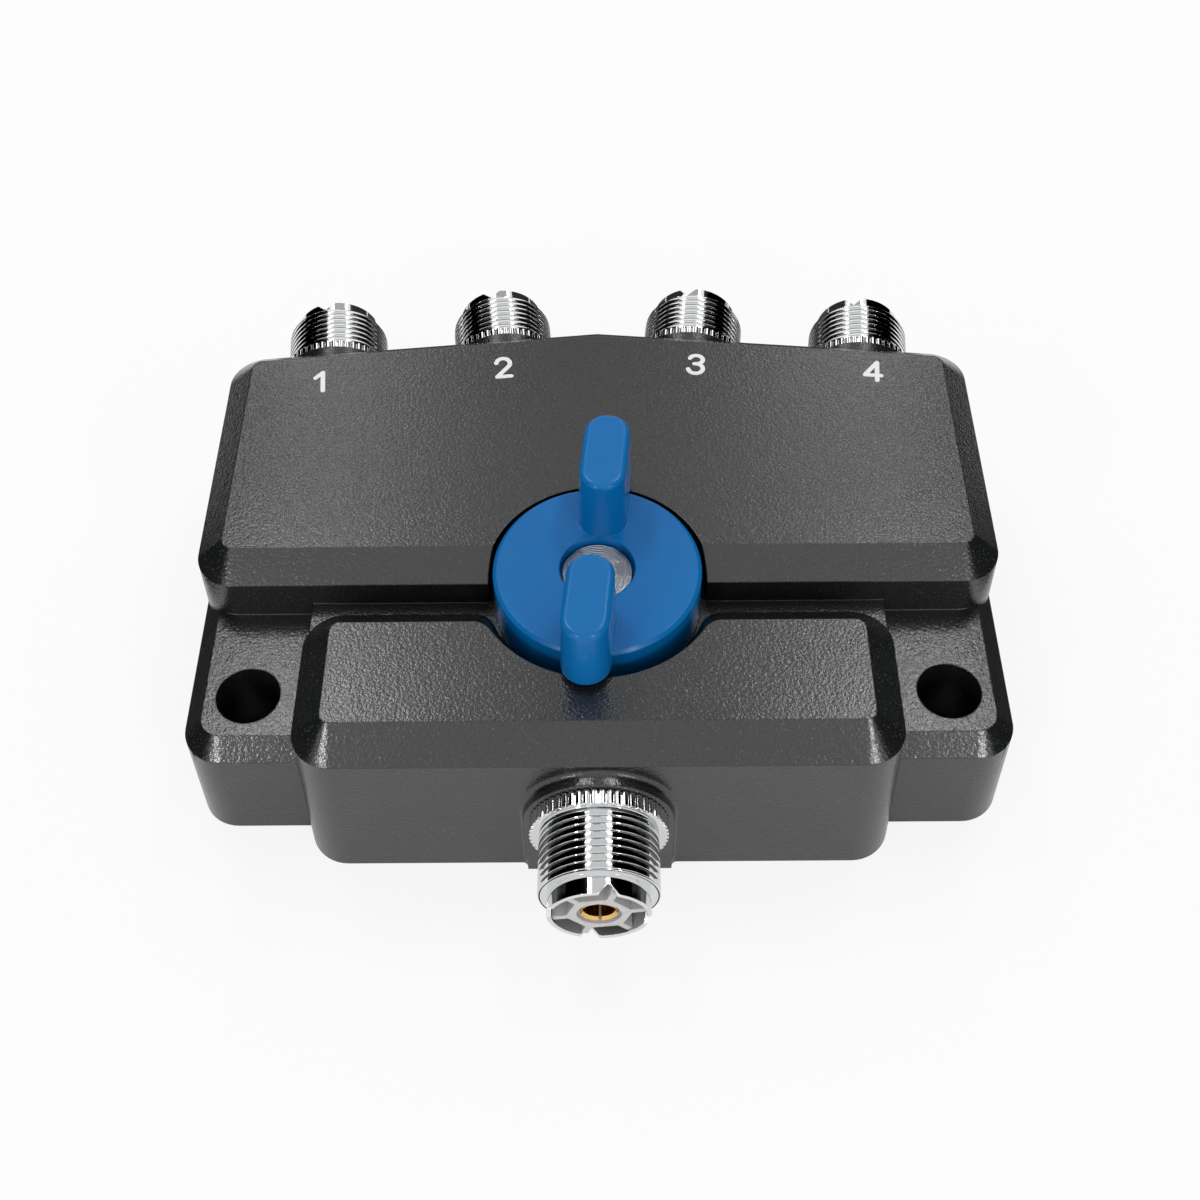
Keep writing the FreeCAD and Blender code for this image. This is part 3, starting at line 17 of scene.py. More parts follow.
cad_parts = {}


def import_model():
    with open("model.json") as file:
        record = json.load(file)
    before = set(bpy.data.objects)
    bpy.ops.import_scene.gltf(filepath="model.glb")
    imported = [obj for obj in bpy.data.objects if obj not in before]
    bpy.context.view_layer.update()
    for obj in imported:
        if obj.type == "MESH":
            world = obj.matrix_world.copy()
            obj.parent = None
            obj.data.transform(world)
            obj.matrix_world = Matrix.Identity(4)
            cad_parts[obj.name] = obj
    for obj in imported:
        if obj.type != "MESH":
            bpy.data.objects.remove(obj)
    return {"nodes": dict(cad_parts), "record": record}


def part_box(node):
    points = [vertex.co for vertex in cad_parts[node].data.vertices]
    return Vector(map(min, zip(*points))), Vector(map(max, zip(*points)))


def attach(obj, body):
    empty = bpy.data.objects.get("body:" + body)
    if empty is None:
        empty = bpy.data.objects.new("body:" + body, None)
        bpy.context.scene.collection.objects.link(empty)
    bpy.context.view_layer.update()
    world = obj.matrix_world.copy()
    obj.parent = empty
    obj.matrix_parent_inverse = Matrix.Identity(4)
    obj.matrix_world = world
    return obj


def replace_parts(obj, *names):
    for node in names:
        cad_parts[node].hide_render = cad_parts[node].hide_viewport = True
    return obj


LOG = logging.getLogger("coaxial_switch")
MM = 0.001
FULL_TURN = 2 * math.pi
SOCKET_NAMES = ("common", "1", "2", "3", "4")

Colour = tuple[float, float, float]
Triple = tuple[float, float, float]
Mounts = dict[str, dict[str, Any]]

BLACK: Colour = (0.0, 0.0, 0.0)
WHITE: Colour = (1.0, 1.0, 1.0)


def srgb(red: float, green: float, blue: float) -> Colour:
    """Turn display values of 0 to 255 into linear colour.

    Args:
        red: Red on the display.
        green: Green on the display.
        blue: Blue on the display.

    Returns:
        The colour that a shader takes.
    """
    def linear(value: float) -> float:
        """One channel, by the display's own curve."""
        share = value / 255
        return share / 12.92 if share <= 0.04045 else ((share + 0.055) / 1.055) ** 2.4
    return linear(red), linear(green), linear(blue)


def shade(colour: Colour, share: float) -> Colour:
    """A darker or lighter version of a colour, no brighter than white."""
    return tuple(min(1.0, share * channel) for channel in colour)


# ---------------- shader building


class Wire:
    """A number on its way through a shader, with the usual arithmetic.

    Attributes:
        maker: What adds nodes to the tree.
        socket: The output that the number comes from.
    """

    def __init__(self, maker: "NodeMaker", socket: bpy.types.NodeSocket) -> None:
        """Hold an output of a node."""
        self.maker = maker
        self.socket = socket

    def _math(self, operation: str, first: "Number", second: "Number") -> "Wire":
        """Add one Math node and return its output."""
        return self.maker.node("ShaderNodeMath", {"operation": operation}, {0: first, 1: second})

    def __add__(self, other: "Number") -> "Wire":
        """Sum."""
        return self._math("ADD", self, other)

    def __radd__(self, other: "Number") -> "Wire":
        """Sum, with the number first."""
        return self._math("ADD", other, self)

    def __sub__(self, other: "Number") -> "Wire":
        """Difference."""
        return self._math("SUBTRACT", self, other)

    def __rsub__(self, other: "Number") -> "Wire":
        """Difference, with the number first."""
        return self._math("SUBTRACT", other, self)

    def __mul__(self, other: "Number") -> "Wire":
        """Product."""
        return self._math("MULTIPLY", self, other)

    def __rmul__(self, other: "Number") -> "Wire":
        """Product, with the number first."""
        return self._math("MULTIPLY", other, self)

    def clamp(self, low: float = 0.0, high: float = 1.0) -> "Wire":
        """Keep the number between two limits."""
        return self._math("MINIMUM", self._math("MAXIMUM", self, low), high)

    def swing(self, span: float) -> "Wire":
        """Turn a number from 0 to 1 into one that swings about 0, over a span."""
        return (self - 0.5) * span


Number = Union[Wire, float, int]
Anything = Union[Wire, float, int, Sequence[float]]


class NodeMaker:
    """Adds nodes to one node tree.

    Attributes:
        tree: The node tree.
    """

    def __init__(self, tree: bpy.types.NodeTree) -> None:
        """Work on a tree."""
        self.tree = tree

    def feed(self, target: bpy.types.NodeSocket, value: Anything) -> None:
        """Link a wire to an input, or set a constant on it.

        Args:
            target: The input.
            value: A wire, a number, or the numbers of a vector or colour.
        """
        if isinstance(value, Wire):
            self.tree.links.new(value.socket, target)
        elif isinstance(value, (int, float)):
            target.default_value = value
        else:
            opaque = (*value, 1.0)
            target.default_value = opaque[:len(target.default_value)]

    def node(self, kind: str, settings: Optional[dict[str, Any]] = None,
             inputs: Optional[dict[Union[int, str], Anything]] = None, output: Union[int, str] = 0) -> Wire:
        """Add any node.

        Args:
            kind: The node's type.
            settings: Properties, which are set first.
            inputs: Values or wires by input name or number.
            output: Which output to return.

        Returns:
            The chosen output.
        """
        made = self.tree.nodes.new(kind)
        for name, value in (settings or {}).items():
            setattr(made, name, value)
        for name, value in (inputs or {}).items():
            self.feed(made.inputs[name], value)
        return Wire(self, made.outputs[output])

    def is_ray(self, kind: str) -> Wire:
        """1 for rays of a kind, such as Camera, and 0 for others."""
        return self.node("ShaderNodeLightPath", output=f"Is {kind} Ray")

    def length(self, vector: Wire) -> Wire:
        """Length of a vector."""
        return self.node("ShaderNodeVectorMath", {"operation": "LENGTH"}, {0: vector}, output="Value")


class MaterialMaker(NodeMaker):
    """Builds one node material from the Principled shader up.

    Attributes:
        material: The Blender material.
        shader: Its Principled node.
    """

    def __init__(self, name: str) -> None:
        """Start a material under a name."""
        self.material = bpy.data.materials.new(name)
        self.material.use_nodes = True
        super().__init__(self.material.node_tree)
        self.shader = self.tree.nodes["Principled BSDF"]

    def mix(self, factor: Number, first: Anything, second: Anything) -> Wire:
        """Blend two colours, by the numbers that the Mix node gives its colour sockets."""
        return self.node("ShaderNodeMix", {"data_type": "RGBA"}, {0: factor, 6: first, 7: second}, output=2)

    def place(self) -> Wire:
        """Object coordinates, in metres."""
        return self.node("ShaderNodeTexCoord", output="Object")

    def noise(self, scale: float, detail: float = 2.0, roughness: float = 0.5) -> Wire:
        """Fractal noise in object space.

        Args:
            scale: Cells to the metre.
            detail: Octaves.
            roughness: Strength of the finer octaves.

        Returns:
            A number around one half.
        """
        return self.node("ShaderNodeTexNoise", None, {
            "Vector": self.place(), "Scale": scale, "Detail": detail, "Roughness": roughness})

    def rounded(self, radius: float) -> Wire:
        """Surface normal that runs smoothly round every edge within a radius."""
        return self.node("ShaderNodeBevel", {"samples": 6}, {"Radius": radius})

    def openness(self, reach: float) -> Wire:
        """How open the surface lies: 1 in the clear, towards 0 at the bottom of a hole."""
        return self.node("ShaderNodeAmbientOcclusion", {"samples": 6}, {"Distance": reach}, output="AO")

    def sunk(self, reach: float, onset: float, steepness: float = 10.0) -> Wire:
        """How deep in a recess the surface lies.

        Args:
            reach: How far away a wall still counts.
            onset: Openness below which the recess begins.
            steepness: How fast it sets in.

        Returns:
            0 in the clear, 1 in a recess.
        """
        return ((onset - self.openness(reach)) * steepness).clamp()

    def bump(self, height: Wire, distance: float, normal: Optional[Wire] = None) -> Wire:
        """Turn a height into a normal.

        Args:
            height: Height, from 0 to 1.
            distance: What a height of 1 stands for.
            normal: The normal to start from; the surface's own if left out.

        Returns:
            The normal.
        """
        inputs: dict[Union[int, str], Anything] = {"Height": height, "Distance": distance, "Strength": 1.0}
        if normal is not None:
            inputs["Normal"] = normal
        return self.node("ShaderNodeBump", None, inputs)

    def finish(self, **sockets: Anything) -> bpy.types.Material:
        """Feed the Principled shader and return the material.

        Args:
            **sockets: Input names with underscores for spaces.

        Returns:
            The finished material.
        """
        for name, value in sockets.items():
            self.feed(self.shader.inputs[name.replace("_", " ").title().replace("Ior", "IOR")], value)
        return self.material


# ---------------- finishes


@dataclass(frozen=True)
class Surface:
    """What every finish has. Scales of noise are in cells to the metre.

    Attributes:
        name: Material name.
        colour: Colour of the flats, or of a metal's reflection.
        roughness: Roughness of the flats.
    """

    name: str
    colour: Colour
    roughness: float

    def build(self) -> bpy.types.Material:
        """Build the material."""
        raise NotImplementedError


@dataclass(frozen=True)
class CastPaint(Surface):
    """Glossy charcoal paint with the grain of orange peel and a few bright flakes, and painted shade in its
    holes.

    Attributes:
        roughness_span: How much the grain changes the roughness.
        gloss: Strength of the clear reflection.
        tone_scale: Scale of the slow change in tone.
        tones: Darkest and lightest tone, as shares of the colour.
        grain_scale: Scale of the grain.
        grain_height: Height of the grain.
        swell_scale: Scale of the coarser waves below it.
        swell_share: Share of the height that these waves have.
        edge: Radius that the paint rounds every edge to.
        flake_scale: Scale of the flakes.
        flake_onset: Level of that noise above which a flake shows.
        flake_steepness: How sharply a flake stands out.
        flake_light: Brightness of a flake, as a share of the colour.
        flake_cover: How much of the paint's colour a full flake hides.
        flake_metal: How metallic a full flake is.
        narrow_hole: Reach and onset of the painted shade in narrow holes.
        wide_hole: Reach and onset of the painted shade in wide holes.
        hole_light: Brightness of the painted shade in a hole, as a share of the colour.
        hole_roughness: Roughness added in a hole.
    """

    name: str = "charcoal_paint"
    colour: Colour = srgb(27, 28, 29)
    roughness: float = 0.2
    roughness_span: float = 0.2
    gloss: float = 0.8
    tone_scale: float = 60.0
    tones: tuple[float, float] = (0.9, 1.1)
    grain_scale: float = 2300.0
    grain_height: float = 0.07 * MM
    swell_scale: float = 700.0
    swell_share: float = 0.25
    edge: float = 0.3 * MM
    flake_scale: float = 3600.0
    flake_onset: float = 0.62
    flake_steepness: float = 9.0
    flake_light: float = 9.0
    flake_cover: float = 0.5
    flake_metal: float = 0.08
    narrow_hole: tuple[float, float] = (6.0 * MM, 0.3)
    wide_hole: tuple[float, float] = (14.0 * MM, 0.22)
    hole_light: float = 0.3
    hole_roughness: float = 0.3

    def build(self) -> bpy.types.Material:
        """Build the material.

        Returns:
            The finished material.
        """
        maker = MaterialMaker(self.name)
        grain = maker.noise(self.grain_scale, 2.0, 0.6)
        swell = maker.noise(self.swell_scale)
        tone = maker.noise(self.tone_scale, 3.0, 0.6)
        flake = ((maker.noise(self.flake_scale, 1.0) - self.flake_onset) * self.flake_steepness).clamp()
        # Painted shade: holes are darkened in colour and turned metallic over that dark colour, so their
        # reflection is painted dark too.
        painted_hole_shade = (maker.sunk(*self.narrow_hole) + maker.sunk(*self.wide_hole)).clamp()
        dark, light = (shade(self.colour, share) for share in self.tones)
        base = maker.mix(flake * self.flake_cover, maker.mix(tone, dark, light),
                         shade(self.colour, self.flake_light))
        height = grain * (1.0 - self.swell_share) + swell * self.swell_share
        rough = self.roughness + grain.swing(self.roughness_span) + painted_hole_shade * self.hole_roughness
        return maker.finish(
            base_color=maker.mix(painted_hole_shade, base, shade(self.colour, self.hole_light)),
            metallic=(painted_hole_shade + flake * self.flake_metal).clamp(),
            specular_ior_level=self.gloss,
            roughness=rough.clamp(),
            normal=maker.bump(height, self.grain_height, maker.rounded(self.edge)))


@dataclass(frozen=True)
class KnobPlastic(Surface):
    """Blue moulded plastic with a satin gloss.

    Attributes:
        roughness_span: How much the grain changes the roughness.
        gloss: Strength of the clear reflection.
        tone_scale: Scale of the slow change in tone.
        tones: Darkest and lightest tone, as shares of the colour.
        grain_scale: Scale of the grain.
        grain_height: Height of the grain.
        edge: Radius that the mould leaves on every edge.
    """

    name: str = "blue_plastic"
    colour: Colour = srgb(4, 110, 180)
    roughness: float = 0.24
    roughness_span: float = 0.1
    gloss: float = 0.28
    tone_scale: float = 70.0
    tones: tuple[float, float] = (0.94, 1.05)
    grain_scale: float = 1400.0
    grain_height: float = 0.004 * MM
    edge: float = 0.35 * MM

    def build(self) -> bpy.types.Material:
        """Build the material.

        Returns:
            The finished material.
        """
        maker = MaterialMaker(self.name)
        tone = maker.noise(self.tone_scale, 3.0)
        grain = maker.noise(self.grain_scale)
        dark, light = (shade(self.colour, share) for share in self.tones)
        return maker.finish(
            base_color=maker.mix(tone, dark, light),
            roughness=self.roughness + grain.swing(self.roughness_span),
            specular_ior_level=self.gloss,
            normal=maker.bump(grain, self.grain_height, maker.rounded(self.edge)))


@dataclass(frozen=True)
class Plating(Surface):
    """Bright plated or bare metal.

    Attributes:
        wear: Height of the marks on it.
        wear_scale: Scale of these marks.
        haze_scale: Scale of the haze.
        haze_light: Brightness in the haze, as a share of the colour.
        haze_span: How much the haze changes the roughness.
        edge: Radius of every edge.
    """

    wear: float = 0.006 * MM
    wear_scale: float = 1400.0
    haze_scale: float = 120.0
    haze_light: float = 0.86
    haze_span: float = 0.08
    edge: float = 0.08 * MM

    def _marks(self, maker: MaterialMaker) -> Wire:
        """Shape of the fine marks."""
        return maker.noise(self.wear_scale, 3.0, 0.6)

    def build(self) -> bpy.types.Material:
        """Build the material.

        Returns:
            The finished material.
        """
        maker = MaterialMaker(self.name)
        haze = maker.noise(self.haze_scale)
        return maker.finish(
            base_color=maker.mix(haze, shade(self.colour, self.haze_light), self.colour),
            metallic=1.0,
            roughness=self.roughness + haze.swing(self.haze_span),
            normal=maker.bump(self._marks(maker), self.wear, maker.rounded(self.edge)))


@dataclass(frozen=True)
class TurnedSteel(Plating):
    """Bare steel with the fine rings that a lathe leaves round the upright axis.

    Attributes:
        rings: Rings to the metre.
        wander: How far a ring strays from round, in radians of its wave.
    """

    wear: float = 0.03 * MM
    wear_scale: float = 900.0
    haze_scale: float = 300.0
    haze_light: float = 0.8
    haze_span: float = 0.1
    edge: float = 0.1 * MM
    rings: float = 3400.0
    wander: float = 5.0

    def _marks(self, maker: MaterialMaker) -> Wire:
        """Waves round the axis that stray a little.

        Args:
            maker: The material under construction.

        Returns:
            The height, from -1 to 1.
        """
        flat = maker.node("ShaderNodeVectorMath", {"operation": "MULTIPLY"},
                          {0: maker.place(), 1: (1.0, 1.0, 0.0)})
        stray = maker.noise(self.wear_scale, 2.0, 0.6) * self.wander
        wave = maker.length(flat) * (self.rings * FULL_TURN) + stray
        return maker.node("ShaderNodeMath", {"operation": "SINE"}, {0: wave})


@dataclass(frozen=True)
class Moulding(Surface):
    """Plain moulded or pressed insulating material, with painted shade in its recesses that painted light
    takes back on what faces up.

    Attributes:
        mottle: How much the colour wanders, as a share.
        mottle_scale: Scale of that wandering.
        mottle_height: Height of the unevenness that goes with it.
        mottle_span: How much it changes the roughness.
        reach: How far away a wall still adds painted shade to a recess.
        deep: Share of the colour that the painted shade leaves at the bottom of narrow recesses.
        painted_upward_light: How much of that darkening is spared on what faces up.
        edge: Radius of every edge.
    """

    mottle: float = 0.08
    mottle_scale: float = 400.0
    mottle_height: float = 0.01 * MM
    mottle_span: float = 0.1
    reach: float = 3.0 * MM
    deep: float = 0.35
    painted_upward_light: float = 0.0
    edge: float = 0.15 * MM

    def build(self) -> bpy.types.Material:
        """Build the material.

        Returns:
            The finished material.
        """
        maker = MaterialMaker(self.name)
        tone = maker.noise(self.mottle_scale, 3.0, 0.6)
        body = maker.mix(tone, shade(self.colour, 1 - self.mottle), shade(self.colour, 1 + self.mottle))
        facing = maker.node("ShaderNodeNewGeometry", output="Normal")
        upward = maker.node("ShaderNodeSeparateXYZ", None, {"Vector": facing}, output="Z").clamp()
        # Painted shade in recesses, lifted again by painted light on surfaces that face up.
        pale = (maker.openness(self.reach) + upward * self.painted_upward_light).clamp()
        return maker.finish(
            base_color=maker.mix(pale, shade(self.colour, self.deep), body),
            roughness=self.roughness + tone.swing(self.mottle_span),
            normal=maker.bump(tone, self.mottle_height, maker.rounded(self.edge)))


@dataclass(frozen=True)
class NumeralInk(Surface):
    """White printed ink, a little uneven over the grain of the paint.

    Attributes:
        grain_scale: Scale of the grain.
        grain_height: Height of the grain.
        grain_light: Brightness of the grain's low spots, as a share of the colour.
        grain_span: How much the grain changes the roughness.
    """

    name: str = "white_ink"
    colour: Colour = srgb(250, 250, 248)
    roughness: float = 0.5
    grain_scale: float = 1500.0
    grain_height: float = 0.03 * MM
    grain_light: float = 0.86
    grain_span: float = 0.2

    def build(self) -> bpy.types.Material:
        """Build the material.

        Returns:
            The finished material.
        """
        maker = MaterialMaker(self.name)
        grain = maker.noise(self.grain_scale, 2.0, 0.55)
        return maker.finish(
            base_color=maker.mix(grain, shade(self.colour, self.grain_light), self.colour),
            roughness=self.roughness + grain.swing(self.grain_span),
            normal=maker.bump(grain, self.grain_height))


class Finish(Enum):
    """Every finish of the switch, by the piece or plating that wears it."""

    PAINT = CastPaint()
    KNOB = KnobPlastic()
    NICKEL = Plating("bright_nickel", srgb(234, 235, 236), 0.06)
    STEEL = Plating("ground_steel", srgb(188, 190, 192), 0.24, 0.01 * MM)
    TURNED = TurnedSteel("turned_steel", srgb(196, 198, 200), 0.26)
    SCREW = Plating("zinc_plated_steel", srgb(170, 172, 174), 0.3, 0.01 * MM)
    GILT = Plating("gold_flash", srgb(240, 196, 118), 0.14)
    BRASS = Plating("turned_brass", srgb(206, 176, 106), 0.25)
    STRIP = Plating("silvered_strip", srgb(222, 218, 208), 0.2)
    # Mouldings carry painted shade in their recesses; the insulator's is deeper, and mostly taken back by
    # painted light where it faces up.
    INSULATOR = Moulding("pale_insulator", srgb(206, 206, 204), 0.28, 0.03, deep=0.16, painted_upward_light=0.8)
    ROTOR = Moulding("natural_nylon", srgb(226, 222, 208), 0.4)
    BOARD = Moulding("phenolic_board", srgb(118, 72, 40), 0.5, 0.2)
    INK = NumeralInk()

    def material(self) -> bpy.types.Material:
        """The Blender material, built when it is first asked for."""
        return bpy.data.materials.get(self.value.name) or self.value.build()


# ---------------- meshes


def placed(name: str, data: bpy.types.ID) -> bpy.types.Object:
    """Put a mesh, curve, lamp or camera into the scene.

    Args:
        name: Name of the object.
        data: What it shows.

    Returns:
        The linked object.
    """
    made = bpy.data.objects.new(name, data)
    bpy.context.scene.collection.objects.link(made)
    return made


class MeshMaker:
    """Collects the surfaces of one visible piece and turns them into an object.

    Attributes:
        name: Name of the piece.
        mesh: The bmesh under construction.
    """

    def __init__(self, name: str) -> None:
        """Start an empty piece."""
        self.name = name
        self.mesh = bmesh.new()

    def lathe(self, rings: Sequence[Sequence[Vector]]) -> None:
        """Skin a series of closed rings of equal length.

        Args:
            rings: Points of each ring, anticlockwise seen from the outer end.
        """
        rows = [[self.mesh.verts.new(point) for point in points] for points in rings]
        for low, high in zip(rows, rows[1:]):
            for i in range(len(low)):
                j = (i + 1) % len(low)
                self.mesh.faces.new((low[i], low[j], high[j], high[i]))

    def _data(self) -> bpy.types.Mesh:
        """Hand the surfaces over to a Blender mesh, and return it."""
        data = bpy.data.meshes.new(self.name)
        self.mesh.to_mesh(data)
        self.mesh.free()
        return data

    def panel(self, middle: Triple, across: Triple, along: Triple,
              finish: bpy.types.Material) -> bpy.types.Object:
        """Make a flat rectangle.

        Args:
            middle: Its middle.
            across: From the middle to one side.
            along: From the middle to a neighbouring side.
            finish: What it wears.

        Returns:
            The linked object.
        """
        self.mesh.faces.new([self.mesh.verts.new(Vector(middle) + a * Vector(across) + b * Vector(along))
                             for a, b in ((-1, -1), (1, -1), (1, 1), (-1, 1))])
        data = self._data()
        data.materials.append(finish)
        return placed(self.name, data)

    def build(self, finish: Finish, place: Matrix, crease: float) -> bpy.types.Object:
        """Make the piece, shaded smoothly except at its sharp edges.

        Args:
            finish: What it wears.
            place: Where its own frame lies.
            crease: Angle in degrees above which an edge stays sharp.

        Returns:
            The linked object.
        """
        bmesh.ops.remove_doubles(self.mesh, verts=self.mesh.verts, dist=1e-7)
        bmesh.ops.dissolve_degenerate(self.mesh, dist=1e-8, edges=self.mesh.edges)
        bmesh.ops.recalc_face_normals(self.mesh, faces=self.mesh.faces)
        data = self._data()
        data.transform(place)
        data.polygons.foreach_set("use_smooth", [True] * len(data.polygons))
        data.set_sharp_from_angle(angle=math.radians(crease))
        data.materials.append(finish.material())
        return placed(self.name, data)


def ring(radius: Union[float, Callable[[float], float]], level: Union[float, Callable[[float], float]],
         steps: int) -> list[Vector]:
    """Points of a ring round the Z axis.

    Args:
        radius: Radius, or a function of the angle.
        level: Height, or a function of the angle.
        steps: Number of points.

    Returns:
        The points, anticlockwise from +X.
    """
    points = []
    for i in range(steps):
        angle = FULL_TURN * i / steps
        reach = radius(angle) if callable(radius) else radius
        height = level(angle) if callable(level) else level
        points.append(Vector((reach * math.cos(angle), reach * math.sin(angle), height)))
    return points


def off_quarter(angle: float, turn: float) -> float:
    """How far an angle lies from the nearest of four spokes, a quarter turn apart.

    Args:
        angle: The angle, in radians.
        turn: Turn of the spokes from upright, in degrees.

    Returns:
        The distance, in radians.
    """
    quarter = FULL_TURN / 4
    return abs((angle - math.radians(90 + turn) + quarter / 2) % quarter - quarter / 2)


# ---------------- sockets


@dataclass
class Socket:
    """One threaded socket: its shell with knurl, thread and notched nose, and its slit contact.

    Every length runs from the seat, outwards along the socket's own Z.

    Attributes:
        name: Which socket it is.
        ring_radius: Radius over the knurl.
        ring_width: Width of the knurled ring.
        ring_slope: Bevel at both ends of the teeth.
        ring_break: Small break of the ring's own edges.
        knurl_depth: Depth of the knurl.
        knurl_teeth: Number of teeth.
        thread_length: Ring to the end of the thread.
        lead: Ring to where the plug's thread starts to hold.
        undercut_width: Width of the undercut behind the thread.
        undercut_depth: Depth of that undercut.
        pitch: Rise of one turn of thread.
        thread_depth: Depth of the thread.
        bevel: Bevel on the end of the thread.
        nose_radius: Radius of the nose.
        nose_length: Length of the nose.
        nose_wall: Thickness of the nose.
        rim_edge: Bevel on both edges of the rim.
        notch_depth: Depth of the four notches in the rim.
        notch_width: Width of a notch at the rim.
        notch_turn: Turn of the notches from upright, in degrees.
        mouth_floor: Seat to the step inside.
        barrel_radius: Radius of the barrel behind the seat.
        barrel_bore: Radius inside that barrel.
        barrel_length: Seat to the inner end of the barrel.
        contact_radius: Radius of the centre contact.
        contact_bore: Radius of its hole.
        contact_edge: Width of its flat rim, and the break of its outer edge.
        contact_setback: Contact end behind the rim.
        contact_depth: Depth of its hole.
        slit_width: Width of the four slits in the contact.
        slit_depth: Depth of those slits.
        slit_turn: Turn of the slits from upright, in degrees.
        tail_radius: Radius of the contact's solder tail.
        tail_length: Length of that tail.
    """

    name: str
    ring_radius: float = 9.2 * MM
    ring_width: float = 2.2 * MM
    ring_slope: float = 0.12 * MM
    ring_break: float = 0.03 * MM
    knurl_depth: float = 0.4 * MM
    knurl_teeth: int = 56
    thread_length: float = 8.5 * MM
    lead: float = 0.7 * MM
    undercut_width: float = 0.2 * MM
    undercut_depth: float = 0.45 * MM
    pitch: float = 25.4 / 24 * MM
    thread_depth: float = 0.34 * MM
    bevel: float = 0.18 * MM
    nose_radius: float = 6.7 * MM
    nose_length: float = 2.75 * MM
    nose_wall: float = 0.6 * MM
    rim_edge: float = 0.1 * MM
    notch_depth: float = 1.5 * MM
    notch_width: float = 2.7 * MM
    notch_turn: float = -11.0
    mouth_floor: float = 1.2 * MM
    barrel_radius: float = 7.0 * MM
    barrel_bore: float = 5.0 * MM
    barrel_length: float = 11.0 * MM
    contact_radius: float = 2.44 * MM
    contact_bore: float = 2.0 * MM
    contact_edge: float = 0.06 * MM
    contact_setback: float = 0.55 * MM
    contact_depth: float = 9.5 * MM
    slit_width: float = 0.28 * MM
    slit_depth: float = 5.0 * MM
    slit_turn: float = 3.0
    tail_radius: float = 1.2 * MM
    tail_length: float = 4.0 * MM

    # Points round the shell, a whole number to each tooth of the knurl, and round the contact.
    STEPS = 336
    CONTACT_STEPS = 180
    # Turns of the helix that start below the thread's cut-off end.
    RUN_IN = 1.5
    # Angle in degrees above which an edge of the metal stays sharp.
    CREASE = 25.0
    # One turn of the thread: how far through the pitch, and the share of the full depth.
    PROFILE = ((0.0, 0.0), (0.03, 0.0), (0.07, 0.75), (0.12, 0.91), (0.22, 0.98), (0.4, 1.0), (0.65, 0.9),
               (0.88, 0.76), (0.93, 0.62), (0.97, 0.0))
    # One tooth of the knurl: how far through the tooth, and the share of the full depth.
    TOOTH = ((0.0, 0.0), (0.16, 0.86), (0.33, 1.0), (0.67, 1.0), (0.84, 0.86), (1.0, 0.0))

    @property
    def thread_start(self) -> float:
        """Seat to the start of the thread."""
        return self.ring_width + self.undercut_width

    @property
    def thread_end(self) -> float:
        """Seat to the end of the thread."""
        return self.ring_width + self.thread_length

    @property
    def rim_level(self) -> float:
        """Seat to the rim of the nose."""
        return self.thread_end + self.nose_length

    def frame_of(self, mounts: Mounts) -> tuple[Matrix, float]:
        """Where the socket's own frame lies, with Z outwards and its origin at the seat.

        Args:
            mounts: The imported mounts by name.

        Returns:
            The frame as a matrix, and the radius of the thread.
        """
        mount = mounts["plug_thread_" + self.name]
        outwards = Vector(mount["axis"]).normalized()
        middle = self.ring_width + self.lead + mount["dims"]["length_mm"] * MM / 2
        seat = Vector(mount["pos_m"]) - middle * outwards
        up = Vector((0, 0, 1))
        turn = Matrix((up.cross(outwards), up, outwards)).transposed()
        return Matrix.Translation(seat) @ turn.to_4x4(), mount["dims"]["r_mm"] * MM

    def _tooth(self, angle: float) -> float:
        """Radius over the knurl.

        Args:
            angle: Angle round the axis, in radians.

        Returns:
            The radius at that angle.
        """
        phase = (angle / FULL_TURN * self.knurl_teeth) % 1.0
        for (start, low), (end, high) in zip(self.TOOTH, self.TOOTH[1:]):
            if phase <= end:
                share = low + (high - low) * (phase - start) / (end - start)
                return self.ring_radius - self.knurl_depth * (1 - share)
        return self.ring_radius - self.knurl_depth

    def _rim(self, angle: float) -> float:
        """Height of the notched rim at an angle."""
        reach = off_quarter(angle, self.notch_turn) * self.nose_radius
        return self.rim_level - self.notch_depth * max(0.0, 1 - reach / (self.notch_width / 2))

    def _rim_below(self, angle: float) -> float:
        """Height of the lower edge of the rim's bevels, at an angle."""
        return self._rim(angle) - self.rim_edge

    def _back(self, maker: MeshMaker, crest: float) -> None:
        """The barrel, the ring with its straight teeth and the undercut behind the thread.

        Args:
            maker: The shell under construction.
            crest: Radius of the thread.
        """
        root = self.ring_radius - self.knurl_depth
        foot = root - self.ring_slope
        undercut = crest - self.undercut_depth
        maker.lathe([ring(reach, level, self.STEPS) for reach, level in (
            (self.barrel_bore, -self.barrel_length), (self.barrel_radius, -self.barrel_length),
            (self.barrel_radius, 0.0), (foot, 0.0), (root, self.ring_break),
            (self._tooth, self.ring_slope), (self._tooth, self.ring_width - self.ring_slope),
            (root, self.ring_width - self.ring_break), (foot, self.ring_width),
            (undercut, self.ring_width), (undercut, self.thread_start),
            (crest - self.thread_depth, self.thread_start))])

